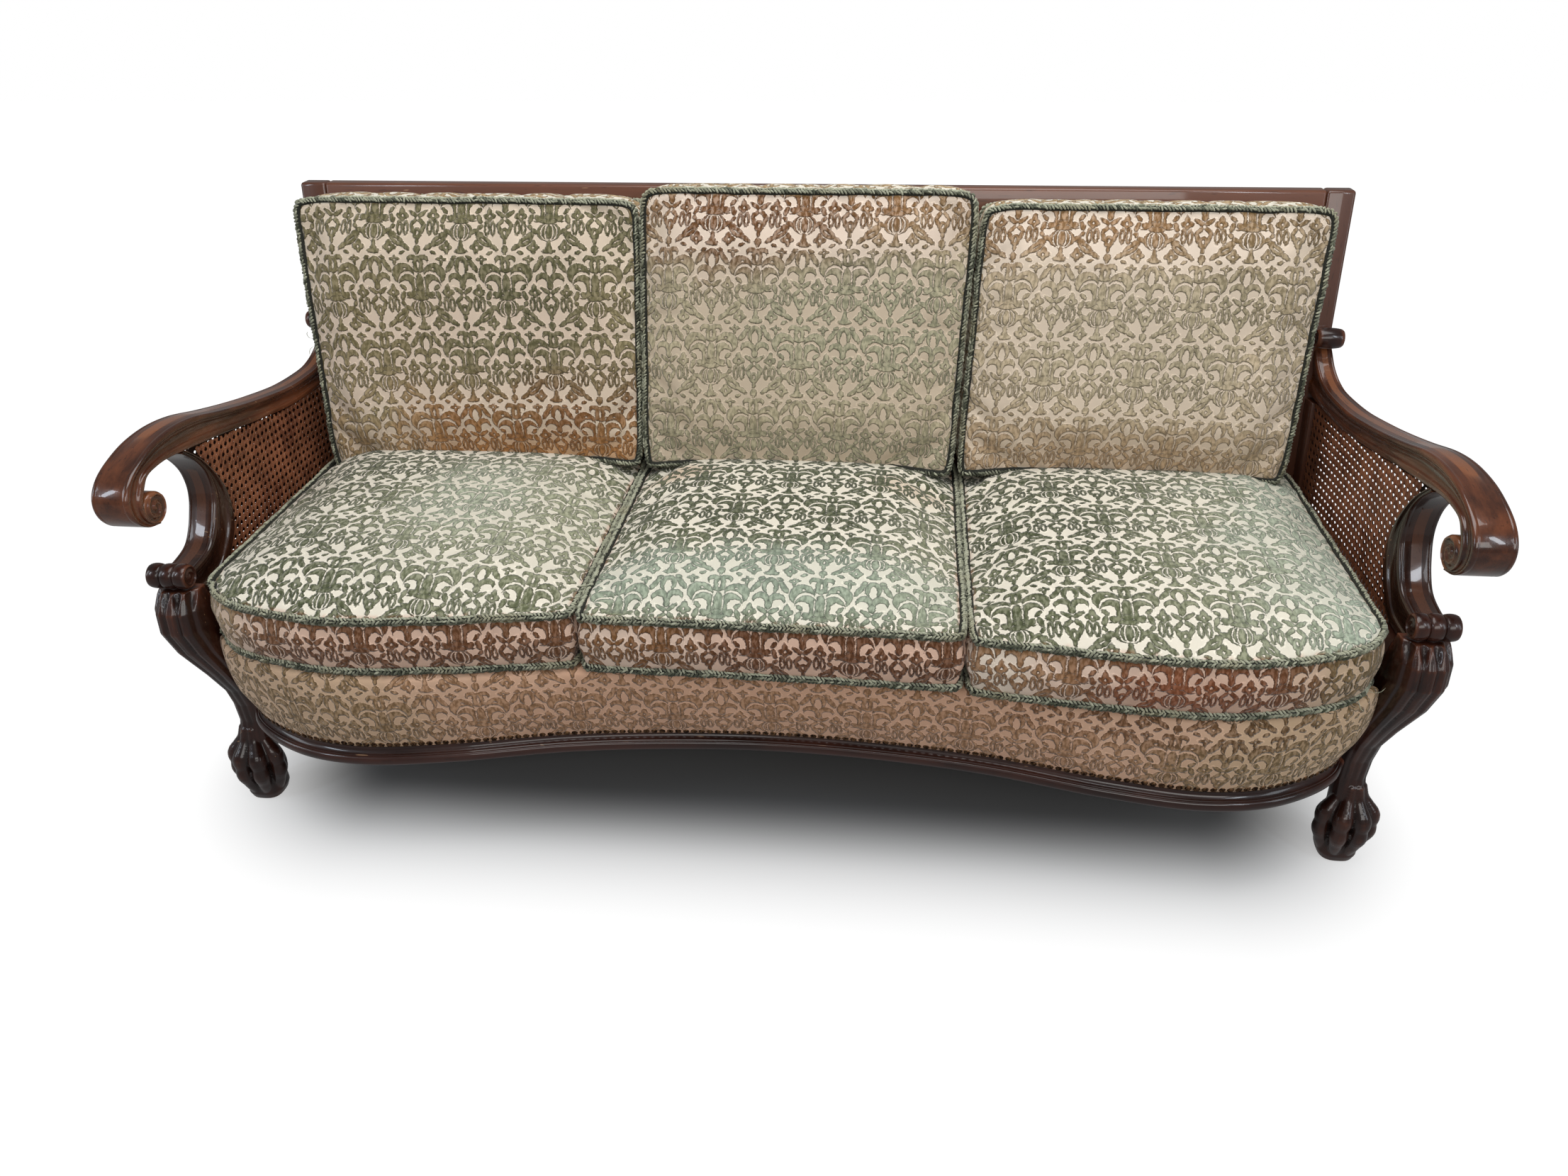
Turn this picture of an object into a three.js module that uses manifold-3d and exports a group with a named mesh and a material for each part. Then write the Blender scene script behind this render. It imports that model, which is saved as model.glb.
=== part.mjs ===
// A three-seat show-wood sofa of the 1920s or 1930s: scroll arms over cane panels, cabriole front
// legs on paw feet, a serpentine front rail, and loose boxed cushions.
// Millimetres, +Z up, the front towards -Y, and +X to the right for somebody facing the front.
// The origin is on the floor, at the middle of the sofa's width and depth.

import * as THREE from 'three';
import { mergeVertices } from 'three/addons/utils/BufferGeometryUtils.js';
import Module from 'manifold-3d';

const wasm = await Module();
wasm.setup();

// ---------------------------------------------------------------- driving dimensions

const GAP = 0.3;                 // clearance kept between pieces that touch

const CREST_TOP = 879;           // top of the back frame
const BACK_LEAN = 0.133;         // how far the back frame goes back for each unit of height
const POST_TOP_FRONT = 328;      // front face of the posts at their top
const POST_INNER = 828;
const POST_OUTER = 872;
const POST_TOP_DEPTH = 29;
const POST_SEAT_DEPTH = 42;
const SEAT_RAIL_TOP = 324.7;
const RAIL_UNDERSIDE = 196;
const KICK_START = 278;          // height at which the rear leg starts to sweep back
const REAR_FOOT_FRONT = 337;
const REAR_FOOT_BACK = 375;

const DECK_TOP = 343.7;          // spring cover that the loose cushions lie on
const CUSHION_BOTTOM = DECK_TOP + GAP;
const WELT_HEIGHT = 433;         // top seam of the seat cushions
const SEAT_CROWN = 42;
const SEAT_BACK_EDGE = 240;

const BACK_CUSHION_LEAN = THREE.MathUtils.degToRad(9.8);
const BACK_CUSHION_FOOT = { y: 137, z: 465 };
const BACK_CUSHION_THICKNESS = { bottom: 124, top: 102 };

const KNEE_ROLL = { y: -278, z: 445, radius: 18.7, inner: 849, outer: 908 };
const ARM_ROLL = { y: 280.6, z: 655, radius: 17, inner: 842, outer: 884 };
const LEG_TOP = 424;
const LEG_SHOULDER = 388;        // level at which the arm stump stands on the leg
const LEG_BACK = -175;

const ARM_INNER = 868;           // inner face of the side frame, before it bends in to the post
const LOWER_RAIL_TOP = 365;

// ---------------------------------------------------------------- finishes

const wood = new THREE.MeshStandardMaterial({ color: 0x4a2416, roughness: 0.32, metalness: 0 });
const plainWood = new THREE.MeshStandardMaterial({ color: 0x9a7a55, roughness: 0.8, metalness: 0 });
const cane = new THREE.MeshStandardMaterial({ color: 0x5a3422, roughness: 0.6, metalness: 0 });
const velvet = new THREE.MeshStandardMaterial({ color: 0xa9a27c, roughness: 0.95, metalness: 0 });
const hessian = new THREE.MeshStandardMaterial({ color: 0x9c8762, roughness: 0.95, metalness: 0 });
const dustCloth = new THREE.MeshStandardMaterial({ color: 0x2a2724, roughness: 0.95, metalness: 0 });
const steel = new THREE.MeshStandardMaterial({ color: 0x8a8782, roughness: 0.4, metalness: 1 });

// ---------------------------------------------------------------- helpers

const sofa = new THREE.Group();

function add(name, geometry, material) {
  const mesh = new THREE.Mesh(geometry, material);
  mesh.name = name;
  sofa.add(mesh);
}

// Only positions are left, and shared corners are one vertex, so that the surface is closed.
function closed(geometry) {
  const bare = geometry.clone();
  bare.deleteAttribute('normal');
  bare.deleteAttribute('uv');
  return mergeVertices(bare);
}

// Moves every vertex to where the function says.
function reshape(geometry, place) {
  const position = geometry.attributes.position;
  const point = new THREE.Vector3();
  for (let i = 0; i < position.count; i += 1) {
    point.fromBufferAttribute(position, i);
    const [x, y, z] = place(point.x, point.y, point.z);
    position.setXYZ(i, x, y, z);
  }
  return closed(geometry);
}

// The same piece for the other side, with its faces turned to point outwards again.
function mirrored(geometry) {
  const copy = geometry.clone();
  copy.scale(-1, 1, 1);
  const index = copy.index.array;
  for (let i = 0; i < index.length; i += 3) {
    [index[i], index[i + 1]] = [index[i + 1], index[i]];
  }
  return copy;
}

function addPair(name, rightGeometry, material) {
  add(`${name}_right`, rightGeometry, material);
  add(`${name}_left`, mirrored(rightGeometry), material);
}

function outline(points) {
  return new THREE.Shape(points.map(([a, b]) => new THREE.Vector2(a, b)));
}

// A side view (y, z) carried along X from x0 to x1.
function extrudeAlongX(shape, x0, x1, curveSegments = 2) {
  const geometry = new THREE.ExtrudeGeometry(shape, { depth: x1 - x0, bevelEnabled: false, curveSegments });
  return reshape(geometry, (a, b, c) => [x0 + c, a, b]);
}

// A plan (x, y) carried up from z0 to z1.
function extrudeUp(shape, z0, z1) {
  const geometry = new THREE.ExtrudeGeometry(shape, { depth: z1 - z0, bevelEnabled: false });
  return reshape(geometry, (a, b, c) => [a, b, z0 + c]);
}

function block(x0, x1, y0, y1, z0, z1) {
  const geometry = new THREE.BoxGeometry(x1 - x0, y1 - y0, z1 - z0);
  geometry.translate((x0 + x1) / 2, (y0 + y1) / 2, (z0 + z1) / 2);
  return closed(geometry);
}

function toManifold(geometry) {
  return new wasm.Manifold(new wasm.Mesh({
    numProp: 3,
    vertProperties: new Float32Array(geometry.attributes.position.array),
    triVerts: new Uint32Array(geometry.index.array),
  }));
}

function fromManifold(manifold) {
  const mesh = manifold.getMesh();
  const geometry = new THREE.BufferGeometry();
  geometry.setAttribute('position', new THREE.BufferAttribute(mesh.vertProperties, 3));
  geometry.setIndex(new THREE.BufferAttribute(mesh.triVerts, 1));
  return geometry;
}

const cut = (piece, tool) => fromManifold(toManifold(piece).subtract(toManifold(tool)));
const join = (pieces) => fromManifold(pieces.map(toManifold).reduce((whole, next) => whole.add(next)));
const lerp = THREE.MathUtils.lerp;
const postFront = (z) => POST_TOP_FRONT - BACK_LEAN * (CREST_TOP - z);

// ---------------------------------------------------------------- back frame

// The post and its rear leg are one board: straight above the seat, swept back below it.
const postOutline = new THREE.Shape();
postOutline.moveTo(REAR_FOOT_FRONT, 0);
postOutline.lineTo(REAR_FOOT_BACK, 0);
postOutline.bezierCurveTo(322, 85, 282, 190, postFront(KICK_START) + POST_SEAT_DEPTH, KICK_START);
postOutline.lineTo(POST_TOP_FRONT + POST_TOP_DEPTH, CREST_TOP);
postOutline.lineTo(POST_TOP_FRONT, CREST_TOP);
postOutline.lineTo(postFront(KICK_START), KICK_START);
postOutline.bezierCurveTo(238, 190, 282, 85, REAR_FOOT_FRONT, 0);
addPair('back_post', extrudeAlongX(postOutline, POST_INNER, POST_OUTER, 6), wood);

// A bar of the back frame, as deep as `depth` and following the lean of the posts.
function leaningBar(x0, x1, z0, z1, depth, inset = 0) {
  return extrudeAlongX(outline([
    [postFront(z0) + inset, z0],
    [postFront(z0) + inset + depth, z0],
    [postFront(z1) + inset + depth, z1],
    [postFront(z1) + inset, z1],
  ]), x0, x1);
}

const CREST_BOTTOM = 815;
const BACK_RAIL_BOTTOM = 345;
const BACK_RAIL_TOP = 395;
const STILE = { inner: 262, outer: 298 };
const BETWEEN_POSTS = POST_INNER - GAP;
const BACK_PANEL_INSET = 11;
const BACK_PANEL_THICKNESS = 4;

add('crest_rail', leaningBar(-BETWEEN_POSTS, BETWEEN_POSTS, CREST_BOTTOM, CREST_TOP, 28), wood);
add('back_lower_rail', leaningBar(-BETWEEN_POSTS, BETWEEN_POSTS, BACK_RAIL_BOTTOM, BACK_RAIL_TOP, 28), wood);
addPair('back_stile', leaningBar(STILE.inner, STILE.outer, BACK_RAIL_TOP + GAP, CREST_BOTTOM - GAP, 26), wood);

function backPanel(x0, x1) {
  return leaningBar(x0 + GAP, x1 - GAP, BACK_RAIL_TOP + GAP, CREST_BOTTOM - GAP,
    BACK_PANEL_THICKNESS, BACK_PANEL_INSET);
}
addPair('back_cane', backPanel(STILE.outer, POST_INNER), cane);
add('back_cane_centre', backPanel(-STILE.inner, STILE.inner), cane);

// ---------------------------------------------------------------- side frames

// Each side frame lies in one plane, and bends in by `ARM_BEND` where it meets the post.
const ARM_BEND = 20;
const BEND_START = -20;
function bend(y) {
  const along = THREE.MathUtils.clamp((y - BEND_START) / (postFront(640) - BEND_START), 0, 1);
  return -ARM_BEND * along * along;
}

// The arm narrows from the scroll to the neck.
function armWidth(y) {
  return y < 110 ? lerp(54, 40, (y + 334) / 444) : lerp(40, 29, (y - 110) / 186);
}

const armOutline = new THREE.Shape();
armOutline.moveTo(postFront(637) - GAP, 637);
armOutline.splineThru([
  [273, 610], [244, 592], [209, 584], [139, 583], [62, 593], [-3, 605], [-70, 620], [-135, 636],
  [-188, 642], [-238, 639], [-278, 629], [-310, 615], [-329, 597], [-334, 577], [-326, 556],
  [-305, 538], [-278, 531],
].map(([y, z]) => new THREE.Vector2(y, z)));
armOutline.absarc(-276, 555, 23.5, -Math.PI / 2, Math.PI * 0.55);
armOutline.splineThru([
  [-283, 590], [-273, 602], [-250, 607], [-216, 606], [-154, 597], [-112, 590], [-62, 582], [8, 569],
  [72, 559], [141, 552], [210, 553], [253, 557], [postFront(561) - GAP, 561],
].map(([y, z]) => new THREE.Vector2(y, z)));
const armSlab = new THREE.ExtrudeGeometry(armOutline, { depth: 1, bevelEnabled: false, curveSegments: 2 });
addPair('arm', reshape(armSlab, (y, z, across) => [ARM_INNER + bend(y) + across * armWidth(y), y, z]), wood);

// The stump is a C-shaped bracket from the knee of the leg to the underside of the arm.
const stumpOutline = new THREE.Shape();
stumpOutline.moveTo(-180, 600.5);
stumpOutline.splineThru([
  [-144, 567], [-120, 533], [-108, 504], [-106, 477], [-114, 447], [-134, 420], [-155, 402],
  [-184, LEG_SHOULDER + GAP],
].map(([y, z]) => new THREE.Vector2(y, z)));
stumpOutline.lineTo(-250, LEG_SHOULDER + GAP);
stumpOutline.lineTo(-257, 436);
stumpOutline.splineThru([
  [-216, 440], [-186, 448], [-168, 466], [-156, 485], [-146, 506], [-143, 528], [-148, 553],
  [-166, 578], [-193, 600.5],
].map(([y, z]) => new THREE.Vector2(y, z)));
addPair('arm_stump', extrudeAlongX(stumpOutline, 866, 912), wood);

// Side pieces under the arm follow the same bend.
function bent(shape, x0, x1) {
  return reshape(extrudeAlongX(shape, x0, x1), (x, y, z) => [x + bend(y), y, z]);
}

const STILE_DEPTH = 26;
const armStile = outline([
  [postFront(LOWER_RAIL_TOP) - STILE_DEPTH, LOWER_RAIL_TOP + GAP],
  [postFront(LOWER_RAIL_TOP) - GAP, LOWER_RAIL_TOP + GAP],
  [postFront(551) - GAP, 551],
  [postFront(551) - STILE_DEPTH, 551],
]);
addPair('arm_stile', bent(armStile, 866, 894), wood);

const lowerRailOutline = outline([
  [LEG_BACK + 2, SEAT_RAIL_TOP + GAP],
  [0, SEAT_RAIL_TOP + GAP],
  [120, SEAT_RAIL_TOP + GAP],
  [postFront(SEAT_RAIL_TOP) - GAP, SEAT_RAIL_TOP + GAP],
  [postFront(LOWER_RAIL_TOP) - GAP, LOWER_RAIL_TOP],
  [120, LOWER_RAIL_TOP],
  [0, LOWER_RAIL_TOP],
  [LEG_BACK + 2, LOWER_RAIL_TOP],
]);
addPair('arm_lower_rail', bent(lowerRailOutline, 866, 896), wood);

// Cane is woven on both sides of the frame, so each arm has an inner and an outer panel.
const armCane = outline([
  [LEG_BACK + 3, LOWER_RAIL_TOP + GAP], [0, LOWER_RAIL_TOP + GAP], [120, LOWER_RAIL_TOP + GAP],
  [postFront(LOWER_RAIL_TOP) - STILE_DEPTH - GAP, LOWER_RAIL_TOP + GAP],
  [postFront(551) - STILE_DEPTH - 1, 551], [210, 550], [141, 549], [72, 556], [8, 566], [-62, 579],
  [-112, 587], [-152, 593], [-140, 567], [-115, 533], [-103, 504], [-101, 477], [-109, 446],
  [-129, 418], [-150, 400], [LEG_BACK + 3, LEG_SHOULDER - 1],
]);
const CANE_THICKNESS = 3.5;
const CANE_PANELS = { inner: 871, outer: 886 };
for (const [side, x] of Object.entries(CANE_PANELS)) {
  addPair(`arm_cane_${side}`, bent(armCane, x, x + CANE_THICKNESS), cane);
}

// A plain seat rail joins the front leg to the post under each side frame.
const SIDE_RAIL = { inner: 846, outer: 878 };
const sideRailOutline = outline([
  [LEG_BACK + 2, RAIL_UNDERSIDE],
  [postFront(KICK_START) - 14, RAIL_UNDERSIDE],
  [postFront(KICK_START) - GAP - 2, KICK_START],
  [postFront(SEAT_RAIL_TOP) - GAP, SEAT_RAIL_TOP],
  [LEG_BACK + 2, SEAT_RAIL_TOP],
]);
addPair('side_rail', extrudeAlongX(sideRailOutline, SIDE_RAIL.inner, SIDE_RAIL.outer), wood);

// Turned rolls: a ribbed one over the knee, and a plain one where the arm meets the post.
function roll({ y, z, radius, inner, outer }, ribs) {
  const length = outer - inner;
  const profile = [new THREE.Vector2(0, 0), new THREE.Vector2(radius * 0.75, 0)];
  const stops = ribs * 4;
  for (let i = 0; i <= stops; i += 1) {
    const groove = i % 4 === 0 ? 0.88 : 1;
    profile.push(new THREE.Vector2(radius * groove, 2 + ((length - 4) * i) / stops));
  }
  profile.push(new THREE.Vector2(radius * 0.75, length), new THREE.Vector2(0, length));
  const turned = new THREE.LatheGeometry(profile, 12);
  return reshape(turned, (a, b, c) => [inner + b, y + c, z + a]);
}
addPair('knee_roll', roll(KNEE_ROLL, 3), wood);
addPair('arm_roll', roll(ARM_ROLL, 1), wood);

// ---------------------------------------------------------------- front legs

// Each row is a level of the cabriole leg: height, centre x and y, half width and half depth.
const legLevels = [
  [0, 861, -222, 38, 40], [12, 861, -222, 46, 48], [40, 861, -222, 50, 52], [70, 861, -222, 50, 50],
  [95, 861, -222, 38, 38], [120, 858, -218, 26, 27], [150, 857, -213, 21, 22], [185, 857, -214, 22, 24],
  [220, 858, -218, 23, 30], [263, 861, -222, 26, 46], [319, 870, -234, 34, 60], [363, 875, -242, 37, 67],
  [395, 875, -242, 37, 67], [LEG_TOP, 875, -233, 34, 57],
];

const SQUARENESS = 2.6;          // 2 is a round leg, and more is squarer

function frontLeg() {
  const column = new THREE.CylinderGeometry(1, 1, legLevels.length - 1, 16, legLevels.length - 1);
  const middle = (legLevels.length - 1) / 2;
  const carved = reshape(column, (a, b, c) => {
    const [z, x, y, halfWidth, halfDepth] = legLevels[Math.round(b + middle)];
    const onRim = Math.hypot(a, c) > 0.5;
    const fill = onRim ? (Math.abs(a) ** SQUARENESS + Math.abs(c) ** SQUARENESS) ** (-1 / SQUARENESS) : 1;
    return [x + c * halfWidth * fill, y + a * halfDepth * fill, z];
  });
  const shoulder = block(800, 950, -258, -150, LEG_SHOULDER, LEG_TOP + 10);
  const heel = block(800, 950, LEG_BACK, -100, LEG_SHOULDER - 140, LEG_TOP + 10);
  return cut(cut(carved, shoulder), heel);
}
addPair('front_leg', frontLeg(), wood);

// ---------------------------------------------------------------- front rail and border

// Half of a serpentine front in plan, from the middle to the leg.
const railHalf = [
  [0, -282], [160, -290], [310, -310], [475, -348], [600, -365], [690, -354], [760, -322], [806, -285],
  [829, -247],
];
const cushionHalf = [
  [0, -333], [160, -334], [310, -340], [475, -361], [600, -370], [690, -357], [768, -331], [802, -307],
  [820, -284],
];

function serpentine(half) {
  const left = half.slice(1).reverse().map(([x, y]) => [-x, y]);
  return new THREE.CatmullRomCurve3([...left, ...half].map(([x, y]) => new THREE.Vector3(x, y, 0)));
}
const railCurve = serpentine(railHalf);
const cushionCurve = serpentine(cushionHalf);
const RAIL_FACE_LEVEL = 183;

// A point of the sofa's front: `along` runs from left to right, `depth` goes in from the surface.
function frontPoint(along, depth, z, leaning) {
  const low = railCurve.getPoint(along);
  const tangent = railCurve.getTangent(along);
  const rise = leaning ? (z - RAIL_FACE_LEVEL) / (WELT_HEIGHT - RAIL_FACE_LEVEL) : 0;
  const point = low.lerp(cushionCurve.getPoint(along), rise);
  return [point.x - tangent.y * depth, point.y + tangent.x * depth, z];
}

const FRONT_STEPS = 30;
function sweepFront(section, leaning) {
  const geometry = new THREE.ExtrudeGeometry(section, {
    depth: 1, steps: FRONT_STEPS, bevelEnabled: false, curveSegments: 3,
  });
  return reshape(geometry, (depth, z, along) => frontPoint(along, depth, z, leaning));
}

const TONGUE = { front: 18, back: 44, top: 262 };
const railSection = outline([
  [0, 187], [3, RAIL_FACE_LEVEL], [TONGUE.front - 4, RAIL_FACE_LEVEL], [TONGUE.front, RAIL_UNDERSIDE],
  [TONGUE.back, RAIL_UNDERSIDE], [TONGUE.back, TONGUE.top], [TONGUE.front, TONGUE.top],
  [TONGUE.front, 211], [11, 209], [7, 199], [0, 195],
]);
add('front_rail', sweepFront(railSection, false), wood);

const borderSection = new THREE.Shape();
borderSection.moveTo(TONGUE.front - GAP, 211.5);
borderSection.lineTo(TONGUE.front - GAP, TONGUE.top + GAP);
borderSection.lineTo(TONGUE.back, TONGUE.top + GAP);
borderSection.lineTo(TONGUE.back, DECK_TOP);
borderSection.lineTo(8, DECK_TOP);
borderSection.quadraticCurveTo(-3, DECK_TOP - 4, -3, 318);
borderSection.quadraticCurveTo(-1, 255, 11, 211.5);
add('front_border', sweepFront(borderSection, true), velvet);

// ---------------------------------------------------------------- seat: rails, deck, springs

add('rear_seat_rail', block(-BETWEEN_POSTS, BETWEEN_POSTS, 252, 284, RAIL_UNDERSIDE, SEAT_RAIL_TOP), plainWood);

const blockInner = 760;
const frontBlock = outline([[SIDE_RAIL.inner - 1, -168], [SIDE_RAIL.inner - 1, -100], [blockInner + 20, -168]]);
const rearBlock = outline([[SIDE_RAIL.inner - 20, 251], [blockInner, 251], [SIDE_RAIL.inner - 20, 185]]);
addPair('front_corner_block', extrudeUp(frontBlock, 230, 300), plainWood);
addPair('rear_corner_block', extrudeUp(rearBlock, 230, 300), plainWood);

// The deck is the padded cover over the springs. It fills the seat inside the border.
const DECK_BOTTOM = 325.2;
const deckEdge = [];
for (let i = 1; i < FRONT_STEPS; i += 1) {
  const [x, y] = frontPoint(i / FRONT_STEPS, TONGUE.back + 1.5, DECK_BOTTOM, true);
  deckEdge.push([x, y]);
}
const DECK_SIDE = 834;
const deckOutline = outline([
  [-DECK_SIDE, -172], ...deckEdge, [DECK_SIDE, -172], [DECK_SIDE, 248], [BETWEEN_POSTS, 248],
  [BETWEEN_POSTS, 282], [-BETWEEN_POSTS, 282], [-BETWEEN_POSTS, 248], [-DECK_SIDE, 248],
]);
add('seat_deck', extrudeUp(deckOutline, DECK_BOTTOM, DECK_TOP), hessian);

// Webbing is tacked under the rails, and each crossing of a long and a short strap carries a spring.
const WEBBING = { bottom: 192.6, top: 195.7, width: 52 };
const springColumns = [-675, -405, -135, 135, 405, 675];
const springRows = [-130, 90];
function strapAcross(y) {
  return block(-846, 846, y - WEBBING.width / 2, y + WEBBING.width / 2, WEBBING.bottom, WEBBING.top);
}
function strapAlong(x) {
  const front = -250 - 60 * Math.min(1, Math.abs(x) / 500);
  return block(x - WEBBING.width / 2, x + WEBBING.width / 2, front, 270, WEBBING.bottom, WEBBING.top);
}
add('seat_webbing', join([...springRows.map(strapAcross), ...springColumns.map(strapAlong)]), hessian);

class Helix extends THREE.Curve {
  constructor(turns, height, waist, end) {
    super();
    Object.assign(this, { turns, height, waist, end });
  }

  getPoint(t, target = new THREE.Vector3()) {
    const angle = t * this.turns * 2 * Math.PI;
    const radius = lerp(this.waist, this.end, (2 * t - 1) ** 2);
    return target.set(radius * Math.cos(angle), radius * Math.sin(angle), this.height * t);
  }
}

// An hourglass coil spring of steel wire.
const WIRE = 2.2;
const SPRING = { bottom: WEBBING.top + WIRE + 0.6, top: DECK_BOTTOM - WIRE - 0.8 };
const wireSection = new THREE.Shape();
wireSection.absarc(0, 0, WIRE, 0, 2 * Math.PI);
const coil = closed(new THREE.ExtrudeGeometry(wireSection, {
  extrudePath: new Helix(3.5, SPRING.top - SPRING.bottom, 26, 42), steps: 28, curveSegments: 3,
}));
springRows.forEach((y, row) => {
  springColumns.forEach((x, column) => {
    const spring = coil.clone();
    spring.translate(x, y, SPRING.bottom);
    add(`seat_spring_${row + 1}_${column + 1}`, spring, steel);
  });
});

// The dust cloth closes the underside.
const clothEdge = [];
for (let i = 1; i < FRONT_STEPS; i += 1) {
  const [x, y] = frontPoint(i / FRONT_STEPS, TONGUE.front + 4, RAIL_UNDERSIDE, false);
  clothEdge.push([x, y]);
}
const clothOutline = outline([
  [-830, -165], ...clothEdge, [830, -165], [870, -165], [870, 215], [824, 215], [824, 278], [-824, 278],
  [-824, 215], [-870, 215], [-870, -165],
]);
add('bottom_cloth', extrudeUp(clothOutline, 190.6, 192.2), dustCloth);

// ---------------------------------------------------------------- loose cushions

// A cushion is a cube's skin with each point moved to its place: u goes across, v goes from
// front to back and w from bottom to top, each from -1 to 1.
function cushion(place, across = 9, through = 6, up = 2) {
  return reshape(new THREE.BoxGeometry(2, 2, 2, across, through, up), place);
}

function frontAt(x) {
  let low = 0;
  let high = 1;
  for (let i = 0; i < 30; i += 1) {
    const middle = (low + high) / 2;
    if (cushionCurve.getPoint(middle).x < x) low = middle;
    else high = middle;
  }
  return cushionCurve.getPoint(low).y;
}

// The outer cushions have drifted: `shift` moves the front edge at the inner end of each.
const seatCushions = {
  left: { from: -818, to: -272, shiftFrom: 0, shiftTo: 10 },
  centre: { from: -268, to: 268, shiftFrom: 4, shiftTo: -4 },
  right: { from: 272, to: 818, shiftFrom: -11.5, shiftTo: 0 },
};
for (const [name, { from, to, shiftFrom, shiftTo }] of Object.entries(seatCushions)) {
  add(`seat_cushion_${name}`, cushion((u, v, w) => {
    const across = (u + 1) / 2;
    const x = lerp(from, to, across);
    const y = lerp(frontAt(x) + lerp(shiftFrom, shiftTo, across), SEAT_BACK_EDGE, (v + 1) / 2);
    const top = WELT_HEIGHT + SEAT_CROWN * (1 - u ** 4) * (1 - Math.abs(v) ** 2.5);
    return [x, y, lerp(CUSHION_BOTTOM, top, (w + 1) / 2)];
  }), velvet);
}

const backCushions = {
  left: { bottom: [-790, -266], top: [-812, -257], height: 424, ahead: 0 },
  centre: { bottom: [-260, 256], top: [-251, 275], height: 443, ahead: 6 },
  right: { bottom: [266, 790], top: [283, 812], height: 422, ahead: 0 },
};
const BOTTOM_SAG = 14;
for (const [name, { bottom, top, height, ahead }] of Object.entries(backCushions)) {
  add(`back_cushion_${name}`, cushion((u, v, w) => {
    const up = (w + 1) / 2;
    const across = (u + 1) / 2;
    const x = lerp(lerp(bottom[0], bottom[1], across), lerp(top[0], top[1], across), up);
    const crown = 12 * (1 - u ** 4) * (1 - w ** 4);
    const thickness = lerp(BACK_CUSHION_THICKNESS.bottom, BACK_CUSHION_THICKNESS.top, up);
    const depth = lerp(-crown, thickness, (v + 1) / 2);
    const reach = up * height - BOTTOM_SAG * u ** 4 * (1 - up) * (1 - v) / 2;
    return [
      x,
      BACK_CUSHION_FOOT.y - ahead + reach * Math.sin(BACK_CUSHION_LEAN) + depth * Math.cos(BACK_CUSHION_LEAN),
      BACK_CUSHION_FOOT.z + reach * Math.cos(BACK_CUSHION_LEAN) - depth * Math.sin(BACK_CUSHION_LEAN),
    ];
  }, 9, 3, 7), velvet);
}

export default sofa;
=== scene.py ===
# %% [markdown]
# # A worn three-seat sofa
# This lesson dresses the plain frame of a show-wood sofa of the 1920s or 1930s. The frame fixes
# every size and place. Here the wood gets its mouldings and carving, the arms their cane, and the
# cushions their faded cut velvet and their ruche trim. Lengths are in metres, +Z is up and the
# sofa faces -Y. Shapes that come from the workshop drawing are given in millimetres.

# %% Load the frame
import math

import bpy
import numpy as np
from mathutils import Matrix, Vector


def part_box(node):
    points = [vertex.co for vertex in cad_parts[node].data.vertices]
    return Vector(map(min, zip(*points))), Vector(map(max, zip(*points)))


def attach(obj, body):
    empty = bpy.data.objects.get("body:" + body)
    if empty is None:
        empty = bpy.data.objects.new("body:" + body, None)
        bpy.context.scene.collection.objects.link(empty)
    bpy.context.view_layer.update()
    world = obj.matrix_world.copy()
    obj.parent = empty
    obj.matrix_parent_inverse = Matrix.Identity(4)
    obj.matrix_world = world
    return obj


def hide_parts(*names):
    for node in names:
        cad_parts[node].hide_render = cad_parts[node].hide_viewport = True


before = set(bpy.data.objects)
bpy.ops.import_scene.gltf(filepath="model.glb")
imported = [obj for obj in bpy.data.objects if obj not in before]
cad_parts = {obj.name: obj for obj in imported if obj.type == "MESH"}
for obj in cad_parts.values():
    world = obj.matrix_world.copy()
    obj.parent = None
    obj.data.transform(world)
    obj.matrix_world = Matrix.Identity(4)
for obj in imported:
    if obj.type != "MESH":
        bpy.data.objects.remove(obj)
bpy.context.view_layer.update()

MM = 0.001
scene = bpy.context.scene

# %% [markdown]
# ## Camera, floor and light
# The camera stands a little right of the middle, at standing height, close enough that the wide
# lens makes the near arm look larger. The light is a white room: one large soft lamp above and one in
# front, a window at each side, and two narrow lamps that put a bluish streak on the polish.

# %% Camera
CAMERA_PLACE = (0.16685, -1.66362, 1.27003)
CAMERA_TURN = math.radians(-6.114)
CAMERA_PITCH = math.radians(30.0)
CAMERA_ROLL = math.radians(-0.8)


def aim(place, turn, pitch, roll):
    ahead = Vector((math.sin(turn) * math.cos(pitch), math.cos(turn) * math.cos(pitch), -math.sin(pitch)))
    right = Vector((math.cos(turn), -math.sin(turn), 0))
    up = right.cross(ahead)
    tilted_right = right * math.cos(roll) + up * math.sin(roll)
    tilted_up = up * math.cos(roll) - right * math.sin(roll)
    rows = Matrix((tilted_right, tilted_up, -ahead)).transposed()
    return Matrix.Translation(place) @ rows.to_4x4()


camera = bpy.data.objects.new("camera", bpy.data.cameras.new("camera"))
camera.data.lens = 26.85
camera.data.sensor_width = 36
camera.matrix_world = aim(CAMERA_PLACE, CAMERA_TURN, CAMERA_PITCH, CAMERA_ROLL)
scene.collection.objects.link(camera)
scene.camera = camera
print("camera:", camera.data.lens, "mm lens")

# %% Room and lamps
scene.view_settings.view_transform = "Standard"


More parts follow.
